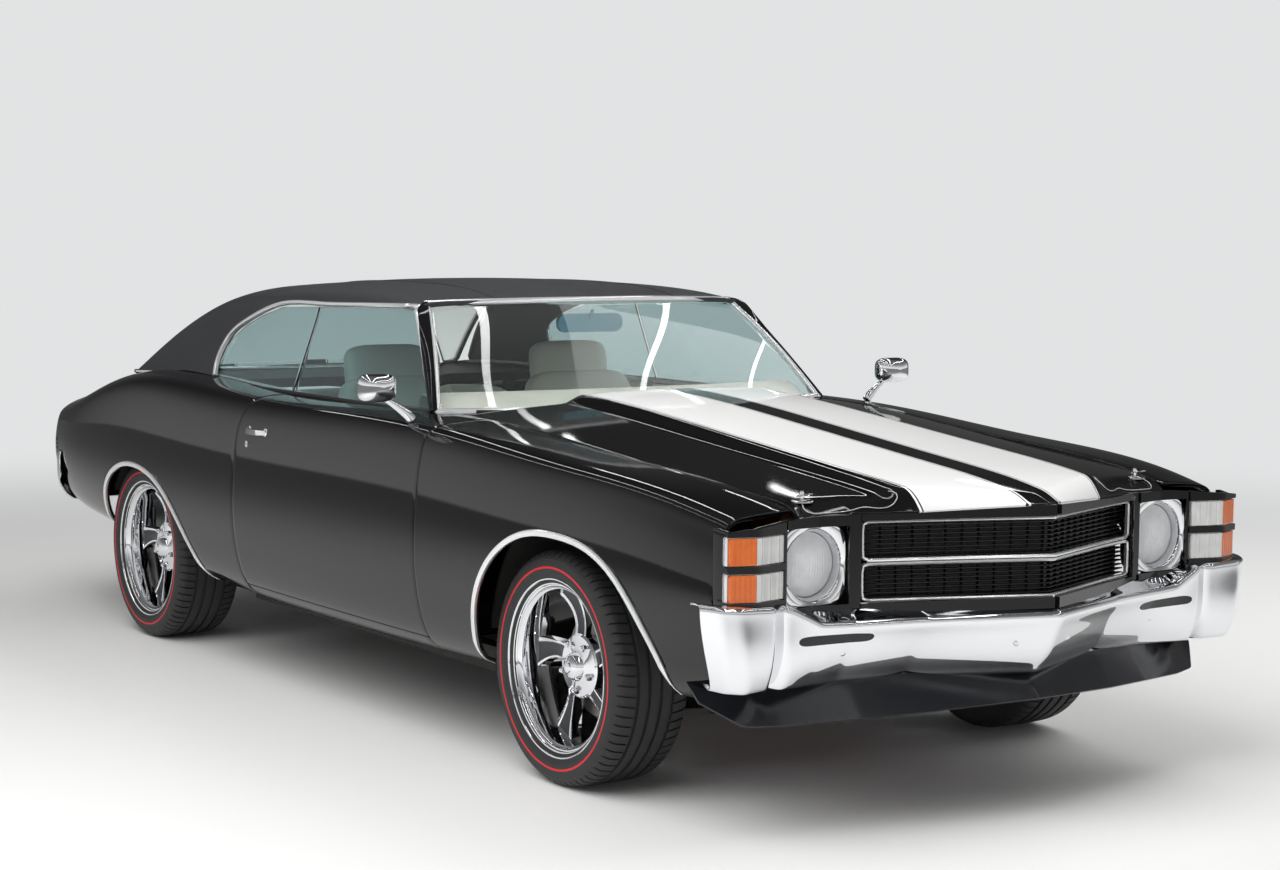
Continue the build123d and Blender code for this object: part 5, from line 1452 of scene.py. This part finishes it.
class CAR_OT_finishes(bpy.types.Operator):
    """Make every finish of the car"""
    bl_idname = "car.finishes"
    bl_label = "Finishes"

    def execute(self, context):
        look = context.scene.car_paint
        make_finishes(look.paint, look.stripe, look.redline)
        return {"FINISHED"}


class CAR_OT_body_sides(bpy.types.Operator):
    """Make fenders, doors, quarter panels, rockers and arch mouldings"""
    bl_idname = "car.body_sides"
    bl_label = "Body sides"

    def execute(self, context):
        for side in SIDES:
            make_side(side)
        return {"FINISHED"}


class CAR_OT_hood_and_deck(bpy.types.Operator):
    """Make the striped hood and the trunk lid"""
    bl_idname = "car.hood_and_deck"
    bl_label = "Hood and trunk lid"

    def execute(self, context):
        make_hood_panel()
        make_deck()
        return {"FINISHED"}


class CAR_OT_cabin(bpy.types.Operator):
    """Make the vinyl roof, the glass and its mouldings"""
    bl_idname = "car.cabin"
    bl_label = "Roof and glass"

    def execute(self, context):
        make_roof_skin()
        end_glass(screen, "windscreen_pane", "windshield", False)
        end_glass(backlight, "rear_pane", "rear_window", True)
        for side in SIDES:
            make_side_glass(side)
        return {"FINISHED"}


class CAR_OT_nose(bpy.types.Operator):
    """Make the nose panel, grille, lamps, bumper and chin spoiler"""
    bl_idname = "car.nose"
    bl_label = "Nose"

    def execute(self, context):
        make_header_skin()
        make_grille_bars()
        make_headlamp_set()
        make_markers()
        make_front_bumper_skin()
        make_chin_blade()
        return {"FINISHED"}


class CAR_OT_wheels(bpy.types.Operator):
    """Make the four wheels and tyres"""
    bl_idname = "car.wheels"
    bl_label = "Wheels and tyres"

    def execute(self, context):
        for end, x in (("front", FRONT_AXLE_X), ("rear", REAR_AXLE_X)):
            for side in SIDES:
                make_wheel(x, side, end)
                make_tyre(x, side, end)
        return {"FINISHED"}


class CAR_OT_interior(bpy.types.Operator):
    """Make the seats and the dashboard's top"""
    bl_idname = "car.interior"
    bl_label = "Interior"

    def execute(self, context):
        make_seats()
        make_dash_top()
        for side in SIDES:
            make_trim_panels(side)
        return {"FINISHED"}


class CAR_OT_fittings(bpy.types.Operator):
    """Make door mirrors and handles, and finish the nodes that stay"""
    bl_idname = "car.fittings"
    bl_label = "Fittings"

    def execute(self, context):
        for side in SIDES:
            make_mirror_head(side)
            make_handles(side)
            make_side_louvres(side)
        make_rear_bumper_skin()
        make_hood_pins()
        dress_carried()
        return {"FINISHED"}


class CAR_OT_stage(bpy.types.Operator):
    """Make the floor, the lights and the camera"""
    bl_idname = "car.stage"
    bl_label = "Stage"

    def execute(self, context):
        look = context.scene.car_stage
        make_world(tuple(look.sky), look.ceiling)
        make_floor(tuple(look.floor), tuple(look.sky))
        make_lights()
        make_camera()
        context.scene.view_settings.view_transform = "Standard"
        return {"FINISHED"}


class CAR_PT_panel(bpy.types.Panel):
    """Lists the steps that build the car"""
    bl_label = "Muscle car"
    bl_space_type = "VIEW_3D"
    bl_region_type = "UI"
    bl_category = "Car"

    def draw(self, context):
        for group in (context.scene.car_paint, context.scene.car_stage):
            for key in group.__annotations__:
                self.layout.prop(group, key)
        for step in STEPS:
            self.layout.operator(step.bl_idname)


STEPS = (CAR_OT_finishes, CAR_OT_body_sides, CAR_OT_hood_and_deck, CAR_OT_cabin, CAR_OT_nose, CAR_OT_wheels,
         CAR_OT_interior, CAR_OT_fittings, CAR_OT_stage)
CLASSES = (CarPaint, CarStage) + STEPS + (CAR_PT_panel,)


def register():
    for each in CLASSES:
        bpy.utils.register_class(each)
    bpy.types.Scene.car_paint = bpy.props.PointerProperty(type=CarPaint)
    bpy.types.Scene.car_stage = bpy.props.PointerProperty(type=CarStage)


def unregister():
    del bpy.types.Scene.car_stage
    del bpy.types.Scene.car_paint
    for each in reversed(CLASSES):
        bpy.utils.unregister_class(each)


def main():
    """Builds the whole scene."""
    register()
    for step in STEPS:
        group, name = step.bl_idname.split(".")
        getattr(getattr(bpy.ops, group), name)()


if __name__ == "__main__":
    main()
